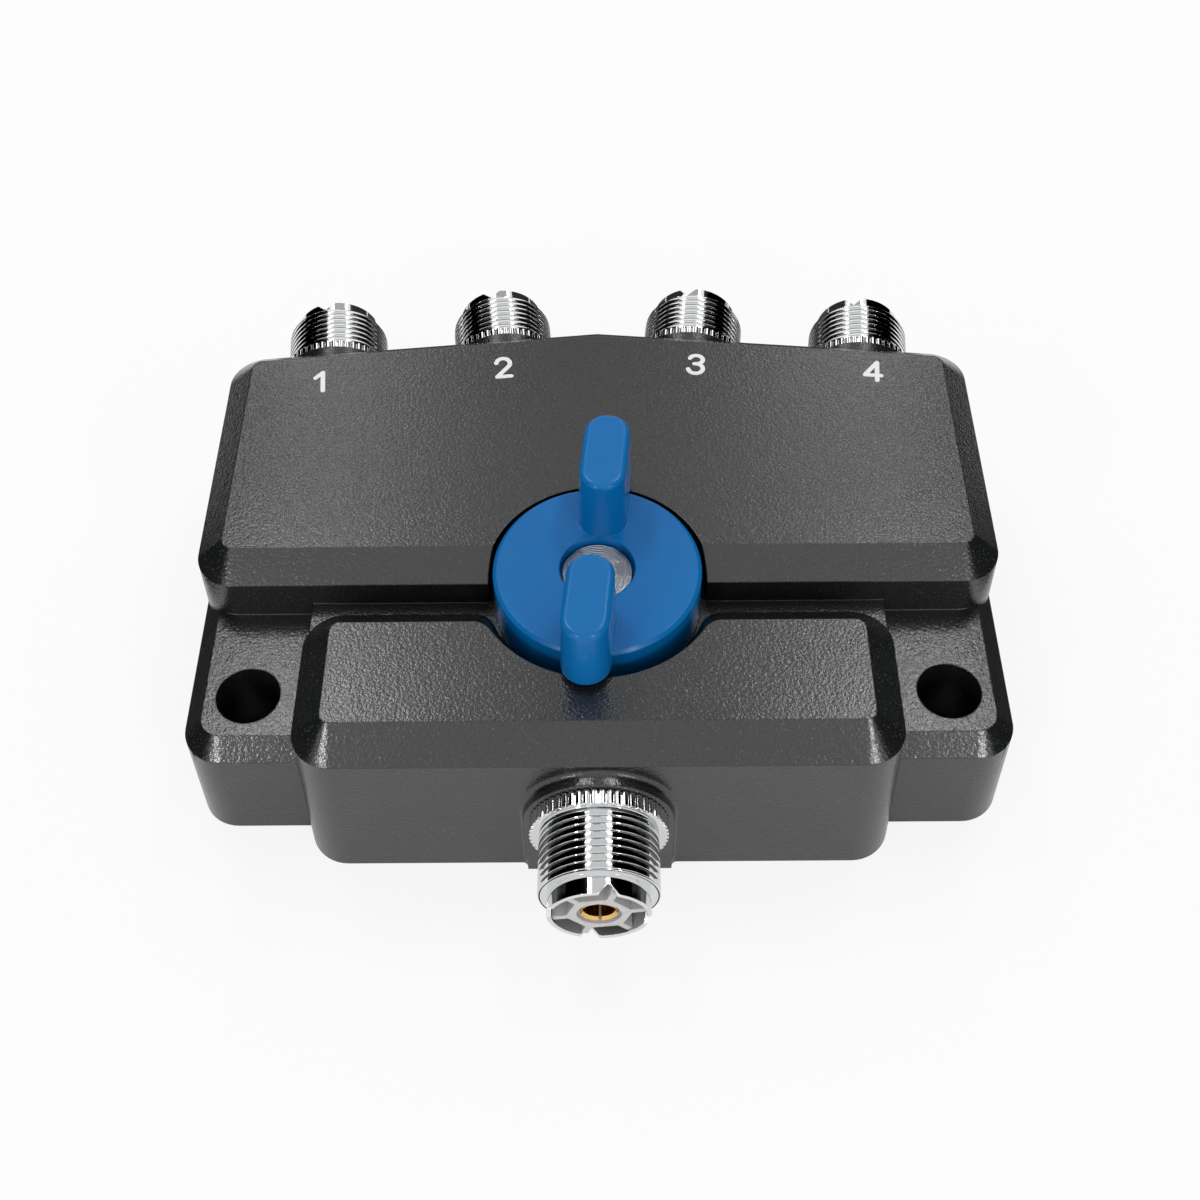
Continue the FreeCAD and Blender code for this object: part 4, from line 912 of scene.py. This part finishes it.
    def _thread(self, maker: MeshMaker, crest: float) -> None:
        """The thread as one long helix, cut off square at both ends.

        Args:
            maker: The shell under construction.
            crest: Radius of the thread.
        """
        low, high = self.thread_start, self.thread_end
        root = crest - self.thread_depth
        turns = math.ceil((high - low) / self.pitch) + 2
        grid = []
        for row in range(turns * len(self.PROFILE)):
            turn, spot = divmod(row, len(self.PROFILE))
            phase, share = self.PROFILE[spot]
            points = []
            for i in range(self.STEPS + 1):
                angle = FULL_TURN * i / self.STEPS
                level = low + self.pitch * (turn + phase + i / self.STEPS - self.RUN_IN)
                kept = min(high, max(low, level))
                reach = root + (self.thread_depth * share if level > low else 0.0)
                reach = min(reach, crest - max(0.0, self.bevel - (high - kept)))
                points.append(maker.mesh.verts.new((reach * math.cos(angle), reach * math.sin(angle), kept)))
            grid.append(points)
        for lower, upper in zip(grid, grid[1:]):
            for i in range(self.STEPS):
                maker.mesh.faces.new((lower[i], lower[i + 1], upper[i + 1], upper[i]))

    def _nose(self, maker: MeshMaker, crest: float) -> None:
        """The thin nose, with four notches in its rim, and the bore behind it."""
        inner = self.nose_radius - self.nose_wall
        maker.lathe([ring(reach, level, self.STEPS) for reach, level in (
            (crest - self.bevel, self.thread_end), (self.nose_radius, self.thread_end),
            (self.nose_radius, self._rim_below), (self.nose_radius - self.rim_edge, self._rim),
            (inner + self.rim_edge, self._rim), (inner, self._rim_below), (inner, self.mouth_floor),
            (self.barrel_bore, self.mouth_floor), (self.barrel_bore, -self.barrel_length))])

    def _slit_edge(self, level: float) -> Callable[[float], float]:
        """A height that drops to the bottom of the contact's slits.

        Args:
            level: The height between the slits.

        Returns:
            The height as a function of the angle.
        """
        def height(angle: float) -> float:
            """The height at an angle."""
            in_slit = off_quarter(angle, self.slit_turn) * self.contact_radius < self.slit_width / 2
            return level - self.slit_depth if in_slit else level
        return height

    def _contact(self) -> MeshMaker:
        """The centre contact: a tube with four slits and a bevelled mouth, and its solder tail.

        Returns:
            The contact under construction.
        """
        maker = MeshMaker("slit_contact_" + self.name)
        face = self.rim_level - self.contact_setback
        flat = self.contact_radius - self.contact_edge
        mouth = face - (flat - self.contact_bore)
        root, tail_end = -self.barrel_length, -self.barrel_length - self.tail_length
        maker.lathe([ring(reach, level, self.CONTACT_STEPS) for reach, level in (
            (0.0, tail_end), (self.tail_radius, tail_end), (self.tail_radius, root),
            (self.contact_radius, root), (self.contact_radius, self._slit_edge(face - self.contact_edge)),
            (flat, self._slit_edge(face)), (self.contact_bore, self._slit_edge(mouth)),
            (self.contact_bore, face - self.contact_depth), (0.0, face - self.contact_depth))])
        return maker

    def build(self, mounts: Mounts) -> None:
        """Make the shell and the contact.

        Args:
            mounts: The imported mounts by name.
        """
        place, crest = self.frame_of(mounts)
        maker = MeshMaker("threaded_shell_" + self.name)
        self._back(maker, crest)
        self._thread(maker, crest)
        self._nose(maker, crest)
        shell = maker.build(Finish.NICKEL, place, self.CREASE)
        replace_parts(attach(shell, "case"), "connector_shell_" + self.name)
        contact = self._contact().build(Finish.GILT, place, self.CREASE)
        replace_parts(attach(contact, "case"), "contact_" + self.name)
        LOG.info("socket %s: %s faces", self.name, [len(piece.data.polygons) for piece in (shell, contact)])


# ---------------- numerals


Point = tuple[float, float]
Spot = tuple[int, int]
Crossing = tuple[Spot, Spot]


def arc(middle: Point, wide: float, high: float, first: float, last: float, steps: int = 16) -> list[Point]:
    """Points on part of an ellipse.

    Args:
        middle: Its middle.
        wide: Half its width.
        high: Half its height.
        first: Angle of the first point, in degrees.
        last: Angle of the last point, in degrees.
        steps: Number of straight pieces.

    Returns:
        The points.
    """
    points = []
    for i in range(steps + 1):
        angle = math.radians(first + (last - first) * i / steps)
        points.append((middle[0] + wide * math.cos(angle), middle[1] + high * math.sin(angle)))
    return points


@dataclass
class Numerals:
    """The printed numerals in front of the antenna sockets, drawn with a round-tipped stroke.

    Attributes:
        stroke: Half the width of a stroke, in millimetres.
        cell: Step of the grid that the outlines are found on, in millimetres.
        reach: Half the width of that grid, in millimetres.
        offset: Shift of the grid, in cells, which keeps its spots off the strokes' straight edges.
        proud: How far the ink stands above the paint.
    """

    stroke: float = 0.34
    cell: float = 0.075
    reach: float = 3.0
    offset: float = 0.37
    proud: float = 0.02 * MM

    # Middle lines of the strokes, in millimetres from the middle of the numeral.
    STROKES = {
        "1": [[(-0.6, 0.85), (0.5, 1.86), (0.5, -1.86)]],
        "2": [arc((0.0, 0.83), 1.02, 1.04, 172, -38) + [(-1.02, -1.86), (1.06, -1.86)]],
        "3": [arc((0.02, 1.0), 0.98, 0.87, 165, -90) + [(-0.2, 0.13)],
              arc((0.0, -0.85), 1.1, 1.01, 80, -170)],
        "4": [[(0.6, -1.86), (0.6, 1.8), (-1.2, -0.86), (1.2, -0.86)]],
    }
    # Shift to the right and distance inwards from the socket's seat, in millimetres.
    PLACES = {"1": (-0.69, 13.05), "2": (-0.34, 13.0), "3": (1.1, 12.6), "4": (0.4, 11.75)}

    def _distance(self, lines: list[list[Point]], spot: Point) -> float:
        """Distance to the edge of the strokes.

        Args:
            lines: Middle lines of the strokes.
            spot: Where to measure from.

        Returns:
            The distance, below zero inside a stroke.
        """
        best = math.inf
        for line in lines:
            for (ax, ay), (bx, by) in zip(line, line[1:]):
                dx, dy = bx - ax, by - ay
                share = ((spot[0] - ax) * dx + (spot[1] - ay) * dy) / (dx * dx + dy * dy)
                share = min(1.0, max(0.0, share))
                best = min(best, math.hypot(spot[0] - ax - share * dx, spot[1] - ay - share * dy))
        return best - self.stroke

    def _crossings(self, lines: list[list[Point]]) -> tuple[dict[Crossing, Point], dict[Crossing, Crossing]]:
        """Where the outlines of the strokes cross the lines of a grid.

        Args:
            lines: Middle lines of the strokes.

        Returns:
            The place of every crossing, and which crossing follows which.
        """
        count = round(2 * self.reach / self.cell)
        level = [-self.reach + self.cell * (i + self.offset) for i in range(count)]
        depth = [[self._distance(lines, (x, y)) for y in level] for x in level]

        def between(first: Spot, second: Spot) -> Point:
            """Where the outline passes between two neighbouring spots of the grid.

            Args:
                first: One spot.
                second: The other spot.

            Returns:
                The point between them.
            """
            low, high = depth[first[0]][first[1]], depth[second[0]][second[1]]
            share = low / (low - high)
            return (level[first[0]] + share * (level[second[0]] - level[first[0]]),
                    level[first[1]] + share * (level[second[1]] - level[first[1]]))

        points: dict[Crossing, Point] = {}
        follows: dict[Crossing, Crossing] = {}
        for i in range(count - 1):
            for j in range(count - 1):
                corners = ((i, j), (i + 1, j), (i + 1, j + 1), (i, j + 1))
                inside = [depth[a][b] < 0 for a, b in corners]
                entry, leave = None, None
                for k in range(4):
                    after = (k + 1) % 4
                    if inside[k] == inside[after]:
                        continue
                    key = tuple(sorted((corners[k], corners[after])))
                    points[key] = between(*key)
                    if inside[k]:
                        leave = key
                    else:
                        entry = key
                if leave is not None:
                    follows[leave] = entry
        return points, follows

    def _outlines(self, lines: list[list[Point]]) -> list[list[Point]]:
        """Closed outlines round the strokes.

        Args:
            lines: Middle lines of the strokes.

        Returns:
            Loops of points; a counter is a loop inside another.
        """
        points, follows = self._crossings(lines)
        loops = []
        while follows:
            key, after = follows.popitem()
            loop = [points[key]]
            while after in follows:
                loop.append(points[after])
                after = follows.pop(after)
            loops.append(loop)
        return loops

    def _print(self, name: str) -> bpy.types.Object:
        """Print one numeral about the origin.

        Args:
            name: Which numeral.

        Returns:
            The linked object.
        """
        curve = bpy.data.curves.new("numeral_" + name, "CURVE")
        curve.dimensions = "2D"
        curve.fill_mode = "BOTH"
        curve.extrude = self.proud
        for loop in self._outlines(self.STROKES[name]):
            spline = curve.splines.new("POLY")
            spline.points.add(len(loop) - 1)
            spline.use_cyclic_u = True
            for point, (x, y) in zip(spline.points, loop):
                point.co = (x * MM, y * MM, 0, 1)
        curve.materials.append(Finish.INK.material())
        return placed("numeral_" + name, curve)

    def build(self, mounts: Mounts, top: float) -> None:
        """Print one numeral in front of each antenna socket.

        Args:
            mounts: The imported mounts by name.
            top: Height of the rear block.
        """
        for name, (shift, back) in self.PLACES.items():
            place, _ = Socket(name).frame_of(mounts)
            outwards = place.to_3x3() @ Vector((0, 0, 1))
            right = Vector((outwards.y, -outwards.x, 0))
            spot = place.translation - back * MM * outwards + shift * MM * right
            turn = math.atan2(-outwards.x, outwards.y)
            piece = self._print(name)
            piece.matrix_world = Matrix.Translation((spot.x, spot.y, top)) @ Matrix.Rotation(turn, 4, "Z")
            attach(piece, "case")
            LOG.info("numeral %s", name)


# ---------------- carried-over solids


class Wardrobe:
    """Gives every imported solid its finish."""

    FINISHES: dict[str, Finish] = {
        "housing": Finish.PAINT, "bottom_cover": Finish.PAINT, "cover_screws": Finish.SCREW,
        "connector_nuts": Finish.BRASS, "common_strip": Finish.STRIP, "stator_plate": Finish.BOARD,
        "stator_screws": Finish.SCREW, "contact_rivets": Finish.BRASS, "shaft_bushing": Finish.BRASS,
        "thrust_washer": Finish.STEEL, "detent_ball": Finish.STEEL, "detent_spring": Finish.STEEL,
        "switch_shaft": Finish.TURNED, "retaining_clip": Finish.SCREW, "detent_plate": Finish.STEEL,
        "rotor_hub": Finish.ROTOR, "rotor_button": Finish.BRASS, "knob": Finish.KNOB,
        "knob_grub_screw": Finish.SCREW,
    }
    FAMILIES: dict[str, Finish] = {
        "connector_shell_": Finish.NICKEL, "insulator_": Finish.INSULATOR, "contact_": Finish.GILT,
        "output_strip_": Finish.STRIP, "rotor_blade_": Finish.STRIP,
    }

    def finish_of(self, node: str) -> Finish:
        """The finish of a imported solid, by its name or its family's."""
        family = (finish for start, finish in self.FAMILIES.items() if node.startswith(start))
        return self.FINISHES.get(node) or next(family)

    def dress(self, nodes: dict[str, bpy.types.Object]) -> None:
        """Put the finishes on.

        Args:
            nodes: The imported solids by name.
        """
        for name, solid in nodes.items():
            finish = self.finish_of(name)
            solid.data.materials.clear()
            solid.data.materials.append(finish.material())
            LOG.info("%s wears %s", name, finish.value.name)


# ---------------- studio


@dataclass
class StudioCamera:
    """The viewing camera.

    Attributes:
        place: Where it stands.
        down: Angle below the horizon, in degrees.
        yaw: Turn to the left, in degrees.
        roll: Turn about its own axis, in degrees.
        focal_pixels: Focal length on an image of the stated width.
        image_pixels: Width of that image.
        sensor: Width of the sensor in millimetres.
        clip: Nearest and farthest distance seen.
    """

    place: Triple = (1.498 * MM, -125.76 * MM, 195.709 * MM)
    down: float = 53.947
    yaw: float = 0.546
    roll: float = 0.857
    focal_pixels: float = 1544.46
    image_pixels: float = 1200.0
    sensor: float = 36.0
    clip: tuple[float, float] = (0.01, 10.0)

    def _axes(self) -> Matrix:
        """The camera's own axes.

        Returns:
            Its right, its up and its back, as columns.
        """
        dip, lean = math.radians(self.down), math.radians(self.roll)
        yawed = Matrix.Rotation(math.radians(self.yaw), 3, "Z")
        ahead = yawed @ Vector((0, math.cos(dip), -math.sin(dip)))
        level = yawed @ Vector((1, 0, 0))
        below = yawed @ Vector((0, -math.sin(dip), -math.cos(dip)))
        right = math.cos(lean) * level + math.sin(lean) * below
        down = -math.sin(lean) * level + math.cos(lean) * below
        return Matrix((right, -down, -ahead)).transposed()

    def build(self) -> None:
        """Make the camera and look through it."""
        data = bpy.data.cameras.new("camera")
        data.sensor_width = self.sensor
        data.lens = self.sensor * self.focal_pixels / self.image_pixels
        data.clip_start, data.clip_end = self.clip
        data.dof.use_dof = False
        camera = placed("camera", data)
        camera.matrix_world = Matrix.Translation(self.place) @ self._axes().to_4x4()
        bpy.context.scene.camera = camera


@dataclass
class Lamp:
    """One soft rectangular lamp.

    Attributes:
        name: Which lamp.
        place: Where it hangs.
        size: Width and height.
        power: Power in watts.
        aim: What it points at; the object if left out.
    """

    name: str
    place: Triple
    size: tuple[float, float]
    power: float
    aim: Triple = (0.0, 0.0, 0.015)

    def build(self) -> None:
        """Hang the lamp."""
        data = bpy.data.lights.new(self.name, "AREA")
        data.shape = "RECTANGLE"
        data.size, data.size_y = self.size
        data.energy = self.power
        lamp = placed(self.name, data)
        lamp.location = self.place
        towards = Vector(self.aim) - Vector(self.place)
        lamp.rotation_euler = towards.to_track_quat("-Z", "Y").to_euler()


@dataclass
class Card:
    """A flat card that only gloss shows: black or grey, to give metal and paint their dark bands.

    Attributes:
        name: Which card.
        middle: Where its middle hangs.
        across: From its middle to one side.
        along: From its middle to a neighbouring side.
        glow: Its brightness, where a white surround is 1.
    """

    name: str
    middle: Triple
    across: Triple
    along: Triple
    glow: float

    def build(self) -> None:
        """Hang the card."""
        finish = MaterialMaker(self.name + "_face").finish(
            base_color=BLACK, roughness=1.0, specular_ior_level=0.0,
            emission_color=WHITE, emission_strength=self.glow)
        card = MeshMaker(self.name).panel(self.middle, self.across, self.along, finish)
        card.visible_camera = card.visible_diffuse = card.visible_shadow = False
        card.visible_transmission = card.visible_volume_scatter = False


def flag(name: str, middle: Triple, deep: float, high: float, glow: float) -> Card:
    """An upright card that runs from front to back, by half its length and half its height."""
    return Card(name, middle, (0.0, deep, 0.0), (0.0, 0.0, high), glow)


def mat(name: str, middle: Triple, wide: float, deep: float, glow: float) -> Card:
    """A level card, by half its width and half its length."""
    return Card(name, middle, (wide, 0.0, 0.0), (0.0, deep, 0.0), glow)


@dataclass
class Studio:
    """Pale floor, white surround, soft lamps and the cards that gloss shows.

    Attributes:
        floor_size: Side of the square floor.
        floor_tones: Darkest and lightest grey of the floor, on the display.
        floor_roughness: Gloss of the floor.
        floor_noise: Cells to the metre of the change between these greys.
        floor_lift: How far the floor is lifted to white for the eye, as a share.
        floor_gloss: The same for gloss and glass.
        fade_start: Distance at which that lift starts to rise to the whole.
        fade_end: Distance at which the floor is plain white to the eye.
        surround: Brightness of the surround for matte surfaces, where white is 1.
        lamps: The lamps.
        cards: The cards.
    """

    floor_size: float = 3.0
    floor_tones: tuple[int, int] = (248, 252)
    floor_roughness: float = 0.9
    floor_noise: float = 3.0
    floor_lift: float = 0.85
    floor_gloss: float = 0.5
    fade_start: float = 0.3
    fade_end: float = 0.8
    surround: float = 0.5
    lamps: tuple[Lamp, ...] = (
        Lamp("strip_left", (-0.19, 0.24, 0.53), (0.075, 0.24), 0.62, (-0.19, 0.24, 0.0)),
        Lamp("strip_right", (0.19, 0.24, 0.53), (0.075, 0.24), 0.62, (0.19, 0.24, 0.0)),
        Lamp("rear_strip_left", (-0.185, 0.62, 0.53), (0.05, 0.24), 0.19, (-0.185, 0.62, 0.0)),
        Lamp("rear_strip_right", (0.165, 0.62, 0.53), (0.05, 0.24), 0.19, (0.165, 0.62, 0.0)),
        Lamp("side_left", (-0.29, -0.47, 0.29), (0.045, 0.09), 0.5),
        Lamp("side_right", (0.29, -0.47, 0.29), (0.045, 0.09), 0.5),
    )
    cards: tuple[Card, ...] = (
        flag("flag_left", (-0.14, 0.08, 0.166), 0.18, 0.165, 0.0),
        flag("flag_right", (0.14, 0.08, 0.166), 0.18, 0.165, 0.0),
        flag("rear_flag_left", (-0.28, 0.52, 0.251), 0.24, 0.25, 0.03),
        flag("rear_flag_right", (0.28, 0.52, 0.251), 0.24, 0.25, 0.03),
        mat("rear_mat", (0.0, 0.096, 0.001), 0.058, 0.026, 0.07),
        mat("rear_cloth", (0.0, 0.35, 0.001), 0.11, 0.228, 0.07),
        mat("side_mat_left", (-0.135, 0.002, 0.001), 0.062, 0.064, 0.05),
        mat("side_mat_right", (0.135, 0.002, 0.001), 0.062, 0.064, 0.05),
        mat("front_ceiling", (0.0, 0.16, 0.56), 0.15, 0.26, 0.68),
        mat("middle_ceiling", (0.0, 0.4925, 0.56), 0.15, 0.0725, 0.93),
        mat("rear_ceiling", (0.0, 0.7125, 0.56), 0.165, 0.1475, 0.46),
    )

    # The rays, besides the eye's own, to which floor and surround show their white.
    MIRRORED = ("Glossy", "Transmission")

    def build(self) -> None:
        """Set the stage."""
        self._floor()
        self._world()
        for item in (*self.lamps, *self.cards):
            item.build()
        bpy.context.scene.view_settings.view_transform = "Standard"

    def _floor(self) -> None:
        """A large pale floor, white to the eye and to reflections, that keeps the shadow."""
        half = self.floor_size / 2
        MeshMaker("floor").panel((0, 0, 0), (half, 0, 0), (0, half, 0), self._floor_finish())

    def _floor_finish(self) -> bpy.types.Material:
        """Matte pale floor, lifted to white for the eye and for gloss, with a share of its shadow kept.

        Returns:
            The finished material.
        """
        maker = MaterialMaker("pale_floor")
        dark, light = (srgb(grey, grey, grey) for grey in self.floor_tones)
        maker.finish(base_color=maker.mix(maker.noise(self.floor_noise), dark, light),
                     roughness=self.floor_roughness)
        beyond = maker.length(maker.place()) - self.fade_start
        far = (beyond * (1 / (self.fade_end - self.fade_start))).clamp()
        shown = maker.is_ray("Camera") * (self.floor_lift + far * (1.0 - self.floor_lift))
        for kind in self.MIRRORED:
            shown = shown + maker.is_ray(kind) * self.floor_gloss
        glow = maker.node("ShaderNodeEmission", None, {"Color": WHITE, "Strength": 1.0})
        lit = Wire(maker, maker.shader.outputs["BSDF"])
        seen = maker.node("ShaderNodeMixShader", None, {0: shown.clamp(), 1: lit, 2: glow})
        maker.feed(maker.tree.nodes["Material Output"].inputs["Surface"], seen)
        return maker.material

    def _world(self) -> None:
        """Even surround: dim to matte surfaces, white to the eye, to metal and through glass."""
        world = bpy.data.worlds.new("surround")
        bpy.context.scene.world = world
        world.use_nodes = True
        maker = NodeMaker(world.node_tree)
        shown = maker.is_ray("Camera")
        for kind in self.MIRRORED:
            shown = shown + maker.is_ray(kind)
        background = maker.tree.nodes["Background"]
        maker.feed(background.inputs["Color"], WHITE)
        maker.feed(background.inputs["Strength"], self.surround + shown.clamp() * (1.0 - self.surround))


# ---------------- main


def main(frame: dict[str, Any]) -> None:
    """Dress the switch and set the stage.
    """
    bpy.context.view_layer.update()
    mounts = {mount["name"]: mount for mount in frame["record"]["mounts"]}
    Wardrobe().dress(frame["nodes"])
    for name in SOCKET_NAMES:
        Socket(name).build(mounts)
    Numerals().build(mounts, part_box("housing")[1].z)
    StudioCamera().build()
    Studio().build()


if __name__ == "__main__":
    logging.basicConfig(level=logging.INFO, format="%(message)s")
    main(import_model())
